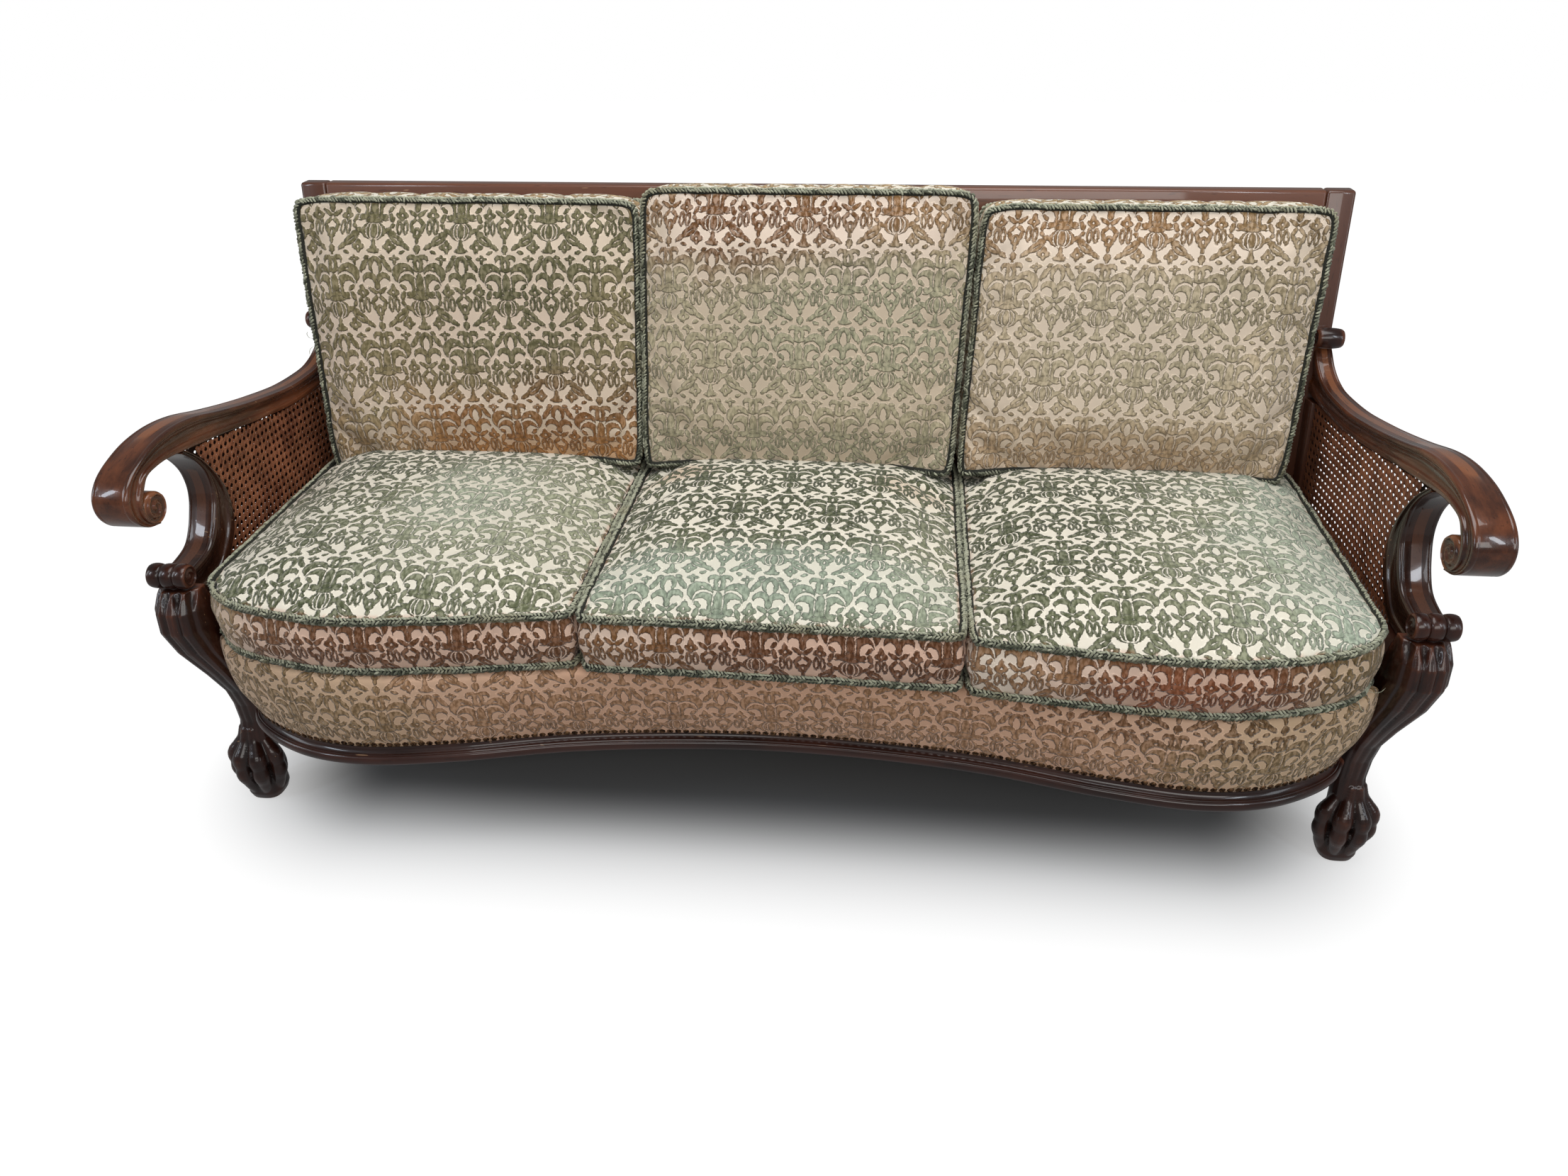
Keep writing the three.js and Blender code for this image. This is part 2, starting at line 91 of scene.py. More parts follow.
def lamp(name, place, target, size, power, colour=(1, 1, 1)):
    light = bpy.data.objects.new(name, bpy.data.lights.new(name, "AREA"))
    light.data.shape = "RECTANGLE"
    light.data.size, light.data.size_y = size
    light.data.energy = power
    light.data.color = colour
    ahead = (Vector(target) - Vector(place)).to_track_quat("-Z", "Y")
    light.matrix_world = Matrix.Translation(place) @ ahead.to_matrix().to_4x4()
    scene.collection.objects.link(light)
    return light


lamp("ceiling", (0.2, -0.35, 3.0), (0, 0, 0.4), (2.6, 1.8), 56)
lamp("front", (0.9, -3.4, 2.2), (0, 0, 0.5), (2.6, 1.2), 38, (1.0, 0.98, 0.95))
lamp("left_window", (-3.2, -1.0, 1.5), (-0.6, 0, 0.5), (0.7, 1.6), 12, (0.86, 0.93, 1.0))
lamp("right_window", (3.0, -1.6, 1.6), (0.7, 0, 0.5), (0.7, 1.6), 11, (0.86, 0.93, 1.0))
lamp("left_strip", (-2.65, -2.0, 2.3), (-0.9, -0.3, 0.5), (0.34, 1.1), 15, (0.8, 0.89, 1.0))
lamp("right_strip", (2.2, -2.15, 2.5), (0.9, -0.3, 0.5), (0.3, 1.1), 13, (0.85, 0.92, 1.0))


def white_room(brightness):
    """The camera sees plain white; the sofa is lit by a dimmer room."""
    world = bpy.data.worlds.new("room")
    world.use_nodes = True
    nodes, links = world.node_tree.nodes, world.node_tree.links
    lit = nodes["Background"]
    lit.inputs["Color"].default_value = (1, 1, 1, 1)
    lit.inputs["Strength"].default_value = brightness
    seen = nodes.new("ShaderNodeBackground")
    seen.inputs["Color"].default_value = (1, 1, 1, 1)
    either = nodes.new("ShaderNodeMixShader")
    path = nodes.new("ShaderNodeLightPath")
    links.new(path.outputs["Is Camera Ray"], either.inputs[0])
    links.new(lit.outputs[0], either.inputs[1])
    links.new(seen.outputs[0], either.inputs[2])
    links.new(either.outputs[0], nodes["World Output"].inputs[0])
    scene.world = world


white_room(0.2)

# %% [markdown]
# ## A small language for finishes
# A finish is a net of shader nodes. Wrapping each socket in a small class lets Python's own
# + - * / build the maths nodes, so that a finish reads like the recipe that it is.


# %% Shader helpers
class Value:
    """A shader socket that can be added, subtracted, multiplied and divided."""

    def __init__(self, finish, socket):
        self.finish = finish
        self.socket = socket

    def __add__(self, other):
        return self.finish.maths("ADD", self, other)

    __radd__ = __add__

    def __sub__(self, other):
        return self.finish.maths("SUBTRACT", self, other)

    def __rsub__(self, other):
        return self.finish.maths("SUBTRACT", other, self)

    def __mul__(self, other):
        return self.finish.maths("MULTIPLY", self, other)

    __rmul__ = __mul__

    def __truediv__(self, other):
        return self.finish.maths("DIVIDE", self, other)

    def __rtruediv__(self, other):
        return self.finish.maths("DIVIDE", other, self)


class Finish:
    """A material under construction."""

    def __init__(self, name):
        self.material = bpy.data.materials.new(name)
        self.material.use_nodes = True
        self.nodes = self.material.node_tree.nodes
        self.links = self.material.node_tree.links
        self.nodes.clear()

    def node(self, kind, settings=None, inputs=None, output=0):
        """Any node: its settings first, then the values or links of its sockets."""
        made = self.nodes.new("ShaderNode" + kind)
        for name, value in (settings or {}).items():
            setattr(made, name, value)
        for name, value in (inputs or {}).items():
            if isinstance(value, Value):
                self.links.new(value.socket, made.inputs[name])
            else:
                made.inputs[name].default_value = value
        return Value(self, made.outputs[output]) if made.outputs else made

    def maths(self, operation, *values):
        return self.node("Math", {"operation": operation}, dict(enumerate(values)))

    def mix(self, factor, first, second):
        return self.node("Mix", {"data_type": "RGBA"}, {0: factor, 6: first, 7: second}, output=2)

    def vector(self, operation, *values, output="Vector"):
        return self.node("VectorMath", {"operation": operation}, dict(enumerate(values)), output)

    def scaled(self, vector, factor):
        """A colour or a vector times a number."""
        return self.node("VectorMath", {"operation": "SCALE"}, {0: vector, "Scale": factor})

    def place(self):
        return self.node("TexCoord", output="Object")

    def attribute(self, name, output="Fac"):
        return self.node("Attribute", {"attribute_name": name}, output=output)

    def noise(self, place, scale, stretch=(1, 1, 1), detail=3.0, roughness=0.5, shift=(0, 0, 0)):
        placed = self.node("Mapping", None, {"Vector": place, "Location": shift, "Scale": stretch})
        inputs = {"Vector": placed, "Scale": scale, "Detail": detail, "Roughness": roughness}
        return self.node("TexNoise", None, inputs)

    def ease(self, value, low, high, to_low=0.0, to_high=1.0):
        """A smooth step from to_low to to_high as the value goes from low to high."""
        inputs = {0: value, 1: low, 2: high, 3: to_low, 4: to_high}
        return self.node("MapRange", {"interpolation_type": "SMOOTHSTEP"}, inputs)

    def surface(self, colour, roughness, bump=None, bump_depth=0.001, strength=1.0, **constants):
        """Ends the recipe. The other values of the shader are constants."""
        inputs = {"Base Color": colour, "Roughness": roughness}
        inputs.update({name.replace("_", " "): value for name, value in constants.items()})
        if bump is not None:
            relief = {"Height": bump, "Distance": bump_depth, "Strength": strength}
            inputs["Normal"] = self.node("Bump", None, relief)
        shader = self.node("BsdfPrincipled", None, inputs)
        self.node("OutputMaterial", None, {"Surface": shader})
        return self.material


def paint(red, green, blue):
    """A paint chip's 0 to 255 values as the shader's linear colour."""
    chip = [value / 255 for value in (red, green, blue)]
    linear = [c / 12.92 if c <= 0.04045 else ((c + 0.055) / 1.055) ** 2.4 for c in chip]
    return (*linear, 1)


print("shader helpers: ready")

# %% [markdown]
# ## Polished wood
# The frame is beech or walnut under old dark French polish. The polish is nearly black in the
# hollows, red-brown where light comes through it, and worn to orange-brown along the ridges. Each
# piece carries a "rub" value, found from how far each point stands out of its surroundings.


# %% Wood finishes
def polished_wood(name, grain, body, worn, gloss, polish=0.7):
    """grain stretches the figure of the wood along the piece; polish is the weight of its coat."""
    finish = Finish(name)
    place = finish.place()
    figure = finish.noise(place, 34, grain, detail=6, roughness=0.62)
    pores = finish.noise(place, 260, grain, detail=2)
    cloud = finish.noise(place, 7, (1, 1, 1), detail=2)
    rub = finish.attribute("rub")
    ridge = finish.ease(rub + (figure - 0.5) * 0.4, 0.64, 1.0)
    hollow = finish.ease(rub, 0.44, 0.14)
    tone = finish.ease(figure * 0.7 + cloud * 0.3, 0.36, 0.64)
    colour = finish.mix(tone, body[0], body[1])
    colour = finish.mix(ridge * 0.6, colour, worn)
    colour = finish.mix(hollow * 0.7, colour, paint(24, 12, 9))
    colour = finish.mix(finish.ease(pores, 0.62, 0.7) * 0.35, colour, paint(20, 10, 6))
    scratch = finish.noise(place, 90, (0.25, 3, 1.6), detail=1, shift=(3, 1, 2))
    scuffed = finish.ease(scratch, 0.735, 0.76) * finish.ease(cloud, 0.5, 0.56)
    colour = finish.mix(scuffed * 0.5, colour, paint(176, 138, 104))
    roughness = gloss + figure * 0.1 + hollow * 0.25 + finish.ease(cloud, 0.45, 0.7) * 0.1
    relief = pores * 0.25 + figure * 0.3
    return finish.surface(colour, roughness, relief, 0.0003, 0.35, Coat_Weight=polish,
                          Coat_Roughness=0.05, Coat_IOR=1.5, Specular_IOR_Level=0.35)


LENGTHWISE = {"x": (0.12, 1, 1), "y": (1, 0.12, 1), "z": (1, 1, 0.12)}
arm_wood = polished_wood("arm_wood", LENGTHWISE["y"], (paint(53, 26, 15), paint(104, 57, 33)),
                         paint(150, 93, 58), 0.2)
stump_wood = polished_wood("stump_wood", LENGTHWISE["z"], (paint(34, 17, 11), paint(62, 34, 22)),
                           paint(92, 54, 34), 0.16)
leg_wood = polished_wood("leg_wood", LENGTHWISE["z"], (paint(31, 13, 9), paint(60, 29, 19)),
                         paint(108, 62, 41), 0.24, 0.4)
rail_wood = polished_wood("rail_wood", LENGTHWISE["x"], (paint(33, 14, 10), paint(60, 29, 20)),
                          paint(98, 55, 37), 0.24, 0.5)
crest_wood = polished_wood("crest_wood", LENGTHWISE["x"], (paint(52, 29, 21), paint(84, 48, 34)),
                           paint(120, 74, 52), 0.34)
# Painted shade: the wood of the posts and stiles is painted darker than the crest's and the arms', for the
# shade that the posts stand in.
post_wood = polished_wood("post_wood", LENGTHWISE["z"], (paint(36, 19, 14), paint(62, 34, 25)),
                          paint(100, 60, 42), 0.3)


def raw_wood():
    finish = Finish("raw_wood")
    place = finish.place()
    figure = finish.noise(place, 30, LENGTHWISE["x"], detail=6)
    dust = finish.noise(place, 12, detail=3)
    colour = finish.mix(figure, paint(140, 104, 68), paint(186, 150, 108))
    colour = finish.mix(finish.ease(dust, 0.5, 0.7) * 0.5, colour, paint(120, 108, 92))
    return finish.surface(colour, figure * 0.2 + 0.65, figure, 0.0004, 0.5)


plain_wood = raw_wood()
print("wood finishes:", [m.name for m in bpy.data.materials if "wood" in m.name])

# %% [markdown]
# ## Cane, metal and the plain cloths
# Cane is the split skin of rattan: shiny, flat, and here stained as dark as the wood. The nails
# are bronzed domes. Hessian covers the springs and a black cotton closes the underside. The outer
# panels of the arms lie in shade, and their cane is painted darker as painted shade, so the inner
# weave stands out against them.


# %% Cane, metal and plain cloths
def cane_finish(name, dark, light, faded):
    finish = Finish(name)
    place = finish.place()
    patch = finish.noise(place, 26, detail=3)
    fibre = finish.noise(place, 420, (1, 0.2, 1), detail=2)
    shade = finish.attribute("shade")
    colour = finish.mix(finish.ease(patch, 0.35, 0.66), dark, light)
    colour = finish.mix(shade * 0.5, colour, faded)
    colour = finish.mix(finish.ease(fibre, 0.55, 0.7) * 0.4, colour, paint(48, 26, 18))
    return finish.surface(colour, fibre * 0.2 + 0.42, fibre, 0.0002, 0.4, Specular_IOR_Level=0.3)


def metal_finish(name, dark, light, roughness):
    finish = Finish(name)
    tarnish = finish.noise(finish.place(), 220, detail=3)
    colour = finish.mix(finish.ease(tarnish, 0.35, 0.65), dark, light)
    return finish.surface(colour, tarnish * 0.25 + roughness, tarnish, 0.0002, 0.3, Metallic=1.0)


def plain_cloth(name, thread, gap, count):
    """A plain weave: threads count to the metre, over and under each other."""
    finish = Finish(name)
    place = finish.place()
    waves = []
    for direction in ("X", "Y"):
        settings = {"wave_type": "BANDS", "bands_direction": direction}
        waves.append(finish.node("TexWave", settings, {"Vector": place, "Scale": count, "Distortion": 0.6},
                                 output="Fac"))
    weave = waves[0] * waves[1]
    slub = finish.noise(place, 90, (1, 0.3, 1), detail=3)
    dust = finish.noise(place, 6, detail=4)
    colour = finish.mix(finish.ease(weave + slub * 0.3, 0.1, 0.5), gap, thread)
    colour = finish.mix(finish.ease(dust, 0.5, 0.7) * 0.35, colour, paint(128, 118, 104))
    return finish.surface(colour, weave * 0.1 + 0.85, weave + slub, 0.0005, 0.6)


stained_cane = cane_finish("stained_cane", paint(98, 55, 38), paint(148, 91, 64), paint(176, 118, 82))
# Painted shade: the cane of the outer arm panels is painted darker, for the shade it lies in behind the
# inner weave.
shaded_cane = cane_finish("shaded_cane", paint(34, 17, 12), paint(52, 28, 20), paint(62, 36, 26))
bronze = metal_finish("bronzed_nails", paint(38, 26, 20), paint(112, 84, 60), 0.3)
steel = metal_finish("spring_wire", paint(84, 80, 76), paint(140, 136, 130), 0.35)
hessian = plain_cloth("hessian", paint(168, 142, 102), paint(92, 72, 46), 190)
dust_cloth = plain_cloth("dust_cloth", paint(52, 48, 44), paint(20, 18, 17), 320)

# %% [markdown]
# ## Cut velvet
# The pile is cut away round a damask of urns, scrolls and leaves, so the figure stands over a
# smooth cream ground. The repeat is 140 mm wide, and each row is set half a repeat from the next.
# A point is folded back into one half of one row, and the leaves are drawn there once, as blobs
# and hooks. Colour isn't in the pattern: each cushion carries its own pile and ground, faded and
# with painted sheen. The finish paints a highlight just outside the pile's edge, a shade just inside
# it, and a sheen on brushed streaks of the pile.

# %% Damask drawing
HALF_REPEAT = 70.0
ROW = 119.0
ROW_START = -36.0
# Each leaf is (across, up, half width, half height, turn), in millimetres and degrees. A hook is a
# leaf with a second one cut out of it. The urn stands at across 0, and the lattice at 70.
LEAVES = [
    (0, -30, 9.6, 3.8, 0), (0, -25.5, 5, 4.6, 0), (0, -19, 3, 6.5, 0), (0, 16.6, 12.6, 4.2, 0),
    (0, 23.5, 7.4, 4.4, 0), (0, 40, 6, 13.5, 0), (9.5, 24.5, 4.2, 1.5, 20), (0, 68, 8.4, 12.5, 0),
    (0, 61, 10.5, 4.4, 0), (29, 20, 3.6, 7.4, 20), (37.5, 77, 7.4, 3, 0), (37.5, 75, 2.6, 7.4, 0),
    (57.5, 79, 4.2, 2.8, 20), (51, 66, 4, 10.4, -35), (56.4, 73.4, 4.4, 2.8, 0), (30, 8, 3, 4.4, -35),
    (70, 36, 4.6, 6.6, 0), (63.6, 27, 9.4, 3.1, -35), (63.6, 15, 9.4, 3.1, 45), (70, -3, 6.8, 8.8, 0),
    (61.8, 3.5, 3.2, 7.4, 20), (70, -14, 2.8, 5, 0), (45, 25, 9.4, 5.4, 0), (44.4, 27, 4.6, 10.4, 0),
    (40.6, 6.5, 4.7, 11.4, 0), (50.4, 6.5, 4.7, 11.4, 0), (21, 0.4, 7.6, 3.6, 20),
    (36.5, -13, 13, 6.6, -35), (51, -23, 8.4, 3.6, -35), (29, -4, 6, 4.2, 0), (25, -24, 9.6, 5.2, 0),
    (24.4, -23, 4.8, 10, 0),
    (70, -27, 5.2, 6, 0), (70, -33.5, 2, 3, 0), (45, -32, 4.4, 2.6, 20),
    (17.6, 22, 5.4, 4.2, 20), (27.4, 33, 5.6, 3, 45),
]
HOOKS = [
    ((18.6, 34.5, 15.6, 18.6, 0), (25, 30, 11.6, 14, 20)),
    ((9, 76.5, 8, 7, 0), (10, 71.6, 5, 4.6, 0)),
    ((25.6, 54, 17.4, 16.4, 0), (19.6, 40.6, 15.6, 17.6, 0)),
    ((59, 46, 11.2, 9.8, 0), (57, 38.6, 8.6, 8.4, 0)),
    ((70, 67, 11.2, 13.6, 0), (70, 61, 5.4, 13, 0)),
]
VOIDS = [
    (23.4, 61.6, 2.4, 1.7, 0), (25, -24, 2.1, 2.2, 0), (45, 25, 2, 2.3, 0), (40.6, 5.6, 2, 7.8, 0),
    (50.4, 5.6, 2, 7.8, 0), (70, -2, 1.9, 3.6, 0), (37.5, 76.4, 1.6, 1.4, 0), (70, 21, 2.6, 3, 0),
    (7.4, 38, 1.5, 13, 0), (0, 68, 2.2, 6.4, 0), (8.8, 66, 1.3, 6, 0), (36, -13, 6, 1.3, -35),
]
URN = (18.6, 14.4)
URN_RIBS = (0.34, 0.68)
PILE_SPREAD = 0.55
RIB_HALF_GAP = 1.3
# How far the old pile has drifted, in metres, and how ragged its edge has become, in millimetres.
DRIFT = 0.0028
RAGGED = 3.0


def damask(finish, cloth):
    """How far the point is outside the raised pile, in millimetres; below 0 is pile."""
    wobble = finish.node("TexNoise", None, {"Vector": cloth, "Scale": 230.0, "Detail": 1.5}, output="Color")
    shifted = finish.vector("MULTIPLY_ADD", wobble, (DRIFT, DRIFT, 0), cloth)
    split = {"Vector": finish.scaled(shifted, 1000)}
    across = finish.node("SeparateXYZ", None, split, output="X")
    up = finish.node("SeparateXYZ", None, split, output="Y") - ROW_START
    row = finish.maths("FLOOR", up / ROW)
    up = up - row * ROW + ROW_START
    across = finish.maths("PINGPONG", across + row * HALF_REPEAT, HALF_REPEAT)
    frames = {0: finish.node("CombineXYZ", None, {"X": across, "Y": up, "Z": 0})}
    turns = sorted({leaf[4] for leaf in LEAVES} - {0})
    for turn in turns:
        c, s = math.cos(math.radians(turn)), math.sin(math.radians(turn))
        inputs = {"X": across * c + up * s, "Y": up * c - across * s, "Z": 0}
        frames[turn] = finish.node("CombineXYZ", None, inputs)

    def outside(leaf):
        """Roughly the distance out of a leaf, found in the frame that is turned with it."""
        x, y, wide, high, turn = leaf
        c, s = math.cos(math.radians(turn)), math.sin(math.radians(turn))
        middle = ((s * y + c * x) / -wide, (s * x - c * y) / high, 0)
        placed = finish.vector("MULTIPLY_ADD", frames[turn], (1 / wide, 1 / high, 0), middle)
        length = finish.vector("LENGTH", placed, output="Value")
        size = min(wide, high)
        return finish.maths("MULTIPLY_ADD", length, size, -size)

    pile = None
    for leaf in LEAVES:
        pile = outside(leaf) if pile is None else finish.maths("MINIMUM", pile, outside(leaf))
    for whole, cut in HOOKS:
        pile = finish.maths("MINIMUM", pile, finish.maths("MAXIMUM", outside(whole), 0 - outside(cut)))
    for gap in VOIDS:
        pile = finish.maths("MAXIMUM", pile, 0 - outside(gap))
    urn = outside((0, 0, *URN, 0))
    for rib in URN_RIBS:
        ring = finish.maths("ABSOLUTE", outside((0, 0, URN[0] * rib, URN[1] * 0.96, 0)))
        urn = finish.maths("MAXIMUM", urn, RIB_HALF_GAP - ring)
    return finish.maths("MINIMUM", pile, urn) - PILE_SPREAD


# %% Velvet finish
def velvet_finish():
    finish = Finish("cut_velvet")
    cloth = finish.node("UVMap", {"uv_map": "UVMap"})
    nap = finish.noise(cloth, 300, (1, 1, 1), detail=2)
    apart = damask(finish, cloth) + (nap - 0.5) * RAGGED
    strands = finish.noise(cloth, 1300, (1, 1, 1), detail=2)
    brushed = finish.noise(cloth, 210, (1, 0.5, 1), detail=3)
    weave = finish.noise(cloth, 900, (1, 3, 1), detail=1)
    wear = finish.attribute("wear")
    raised = finish.ease(apart, 0.45, -0.6)
    # Painted highlight: the ground is lightened in a thin line just outside the pile's edge, where the edge
    # of the pile catches the light.
    rim = finish.ease(apart, 1.5, 0.4) * (1 - raised)
    # Painted shade: the pile is darkened just inside its edge, for the shadow that the pile's height casts.
    pile_edge_shade = raised * finish.ease(apart, -2.2, -0.4)
    pile = finish.attribute("pile", "Color")
    ground = finish.attribute("ground", "Color")
    # Painted sheen: the pile is lightened in brushed streaks, where it leans and catches the light.
    brushed_sheen = finish.ease(brushed + strands * 0.4, 0.5, 0.9)
    pile_tone = finish.scaled(pile, 0.74 + brushed_sheen * 0.6 - pile_edge_shade * 0.2)
    ground_tone = finish.scaled(ground, 0.82 + weave * 0.14 + rim * 0.22)
    thin = finish.ease(brushed, 0.42, 0.62) * wear
    colour = finish.mix(raised * (1 - thin * 0.5), ground_tone, pile_tone)
    swell = finish.ease(apart, 0.8, -1.6)
    relief = swell + strands * 0.1 + brushed * raised * 0.3 + weave * 0.04
    return finish.surface(colour, 0.93 - rim * 0.1, relief, 0.003, 0.9, Specular_IOR_Level=0.2,
                          Sheen_Weight=0.2, Sheen_Roughness=0.4)


cut_velvet = velvet_finish()
print("cut velvet:", len(cut_velvet.node_tree.nodes), "nodes")


# %% Trim finish
def trim_finish():
    finish = Finish("ruche_trim")
    place = finish.place()
    shade = finish.attribute("shade")
    fuzz = finish.noise(place, 900, detail=3)
    patch = finish.noise(place, 14, detail=2)
    # The shade value carries painted light: tufts that face up are lighter, as if lit from above. The rest
    # of it is random tone.
    tone = finish.ease(shade + (patch - 0.5) * 0.8, 0.05, 0.9)
    colour = finish.mix(tone, paint(66, 70, 54), paint(176, 177, 154))
    colour = finish.mix(finish.ease(patch, 0.52, 0.66) * 0.35, colour, paint(132, 118, 84))
    colour = finish.mix(finish.ease(fuzz, 0.5, 0.3) * 0.5, colour, paint(50, 50, 40))
    return finish.surface(colour, fuzz * 0.1 + 0.85, fuzz, 0.0008, 0.8, Specular_IOR_Level=0.15,
                          Sheen_Weight=0.2)


# Painted shade: a near-black finish for the cord under the tufts, which shows as shadow in the gaps between
# them.
def gap_shade_finish():
    finish = Finish("trim_core")
    fuzz = finish.noise(finish.place(), 700, detail=2)
    colour = finish.mix(fuzz, paint(18, 19, 15), paint(44, 45, 35))
    return finish.surface(colour, fuzz * 0.1 + 0.88, fuzz, 0.0006, 0.6)


ruche_trim = trim_finish()
trim_core = gap_shade_finish()

# %% [markdown]
# ## Modelling helpers
# Most pieces here are a section carried along a path. A flat grid is the best start for one: one
# side of the grid runs round the section and the other along the path, and its own UV map comes
# with it. Each vertex is moved to its place, then the joins are merged and open ends filled.


# %% Mesh helpers
def deselect_all():
    bpy.ops.object.select_all(action="DESELECT")


def activate(piece):
    deselect_all()
    piece.select_set(True)
    bpy.context.view_layer.objects.active = piece


def coordinates(piece):
    flat = np.empty(len(piece.data.vertices) * 3)
    piece.data.vertices.foreach_get("co", flat)
    return flat.reshape(-1, 3)


def move_to(piece, points):
    piece.data.vertices.foreach_set("co", np.ravel(points))
    piece.data.update()


def apply_modifier(piece, kind, **settings):
    activate(piece)
    bpy.ops.object.modifier_add(type=kind)
    modifier = piece.modifiers[-1]
    for name, value in settings.items():
        setattr(modifier, name, value)
    bpy.ops.object.modifier_apply(modifier=modifier.name)


def close_up(piece, merge=0.02 * MM, fill=True):
    """Merges doubled vertices, fills open ends and turns every face outwards."""
    activate(piece)
    bpy.ops.object.mode_set(mode="EDIT")
    bpy.ops.mesh.select_all(action="SELECT")
    bpy.ops.mesh.remove_doubles(threshold=merge)
    bpy.ops.mesh.dissolve_degenerate(threshold=merge / 4)
    if fill:
        bpy.ops.mesh.select_all(action="SELECT")
        bpy.ops.mesh.fill_holes(sides=0)
    bpy.ops.mesh.select_all(action="SELECT")
    bpy.ops.mesh.normals_make_consistent(inside=False)
    bpy.ops.object.mode_set(mode="OBJECT")


def smooth(piece, degrees=40):
    activate(piece)
    bpy.ops.object.shade_smooth_by_angle(angle=math.radians(degrees))


def skin(name, around, along, place, cloth=None, closed=True):
    """A grid whose vertices go where place(u, v) says; cloth(u, v) gives its UV in metres."""
    deselect_all()
    bpy.ops.mesh.primitive_grid_add(x_subdivisions=around, y_subdivisions=along, size=1)
    piece = bpy.context.object
    piece.name = piece.data.name = name
    u, v = coordinates(piece)[:, :2].T + 0.5
    move_to(piece, place(u, v))
    if cloth is not None:
        corners = np.empty(len(piece.data.loops), dtype=int)
        piece.data.loops.foreach_get("vertex_index", corners)
        piece.data.uv_layers[0].data.foreach_set("uv", np.ravel(cloth(u, v)[corners]))
    if closed:
        close_up(piece)
    return piece


def joined(name, pieces):
    activate(pieces[0])
    for piece in pieces:
        piece.select_set(True)
    bpy.ops.object.join()
    whole = bpy.context.object
    whole.name = whole.data.name = name
    return whole


def mirrored(piece):
    """The same piece for the left side."""
    name = piece.name.replace("right", "left")
    copy = bpy.data.objects.new(name, piece.data.copy())
    copy.data.name = name
    scene.collection.objects.link(copy)
    move_to(copy, coordinates(copy) * (-1, 1, 1))
    copy.data.flip_normals()
    return copy


def store(piece, name, values, kind="FLOAT"):
    """Gives each vertex a number or a colour that a finish can read."""
    layer = piece.data.attributes.new(name, kind, "POINT")
    layer.data.foreach_set("value" if kind == "FLOAT" else "color", np.ravel(values))


def store_rub(piece, reach=3):
    """0.5 on a flat, more on a ridge and less in a hollow."""
    mesh = piece.data
    points = coordinates(piece)
    ends = np.empty(len(mesh.edges) * 2, dtype=int)
    mesh.edges.foreach_get("vertices", ends)
    first, second = ends.reshape(-1, 2).T
    normals = np.empty(len(points) * 3)
    mesh.vertices.foreach_get("normal", normals)
    normals = normals.reshape(-1, 3)
    count = np.zeros(len(points))
    np.add.at(count, first, 1)
    np.add.at(count, second, 1)
    count = np.maximum(count, 1)

    def average(values):
        total = np.zeros_like(values)
        np.add.at(total, first, values[second])
        np.add.at(total, second, values[first])
        return (total.T / count).T

    blurred = points
    for _ in range(reach):
        blurred = average(blurred)
    stands_out = np.einsum("ij,ij->i", points - blurred, normals)
    stands_out = average(average(stands_out))
    store(piece, "rub", np.clip(0.5 + stands_out / (1.6 * MM), 0, 1))


def finished(piece, material, slot, *nodes):
    """Gives the piece its finish and its place in the frame."""
    piece.data.materials.clear()
    piece.data.materials.append(material)
    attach(piece, "root")
    if nodes:
        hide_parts(*nodes)
    print(piece.name + ":", len(piece.data.polygons), "faces")


def both_sides(right_piece, material, slot, node):
    """Finishes a piece of the right side and its mirror image."""
    left_piece = mirrored(right_piece)
    finished(right_piece, material, slot, node + "_right")
    finished(left_piece, material, slot, node + "_left")


# %% Curve helpers
def lerp(start, end, share):
    return start + (end - start) * share


def stretches(points, places):
    """For places from 0 to 1: the four points round each, and how far it is between the middle two."""
    points = np.asarray(points, dtype=float)
    padded = np.vstack([2 * points[0] - points[1], points, 2 * points[-1] - points[-2]])
    scaled = np.clip(np.asarray(places), 0, 1) * (len(points) - 1)
    low = np.minimum(scaled.astype(int), len(points) - 2)
    return (*(padded[low + step] for step in range(4)), (scaled - low)[:, None])


def natural(points, places):
    """A Catmull-Rom curve through the points, read at places from 0 to 1."""
    p0, p1, p2, p3, t = stretches(points, places)
    return 0.5 * (2 * p1 + (p2 - p0) * t + (2 * p0 - 5 * p1 + 4 * p2 - p3) * t ** 2
                  + (3 * p1 - p0 - 3 * p2 + p3) * t ** 3)


def lengths_along(line):
    """The length of a line from its start to each of its points."""
    return np.concatenate([[0], np.cumsum(np.linalg.norm(np.diff(line, axis=0), axis=1))])


def even(points, places):
    """A curve read at places that are evenly spaced along its length."""
    fine = np.linspace(0, 1, 40 * len(points))
    line = natural(points, fine)
    length = lengths_along(line)
    return natural(points, np.interp(places, length / length[-1], fine))


def read(table, places):
    """Rows of a table read between its stations, which are evenly spaced from 0 to 1."""
    table = np.asarray(table, dtype=float)
    stations = np.linspace(0, 1, len(table))
    return np.stack([np.interp(places, stations, column) for column in table.T], axis=-1)


# %% [markdown]
# ## The posts, the crest and the other straight members
# A square board only needs its arrises softened, as years of polishing do. A copy of the frame's
# own board is merged, bevelled and given a finer mesh, so that the polish can show its wear.


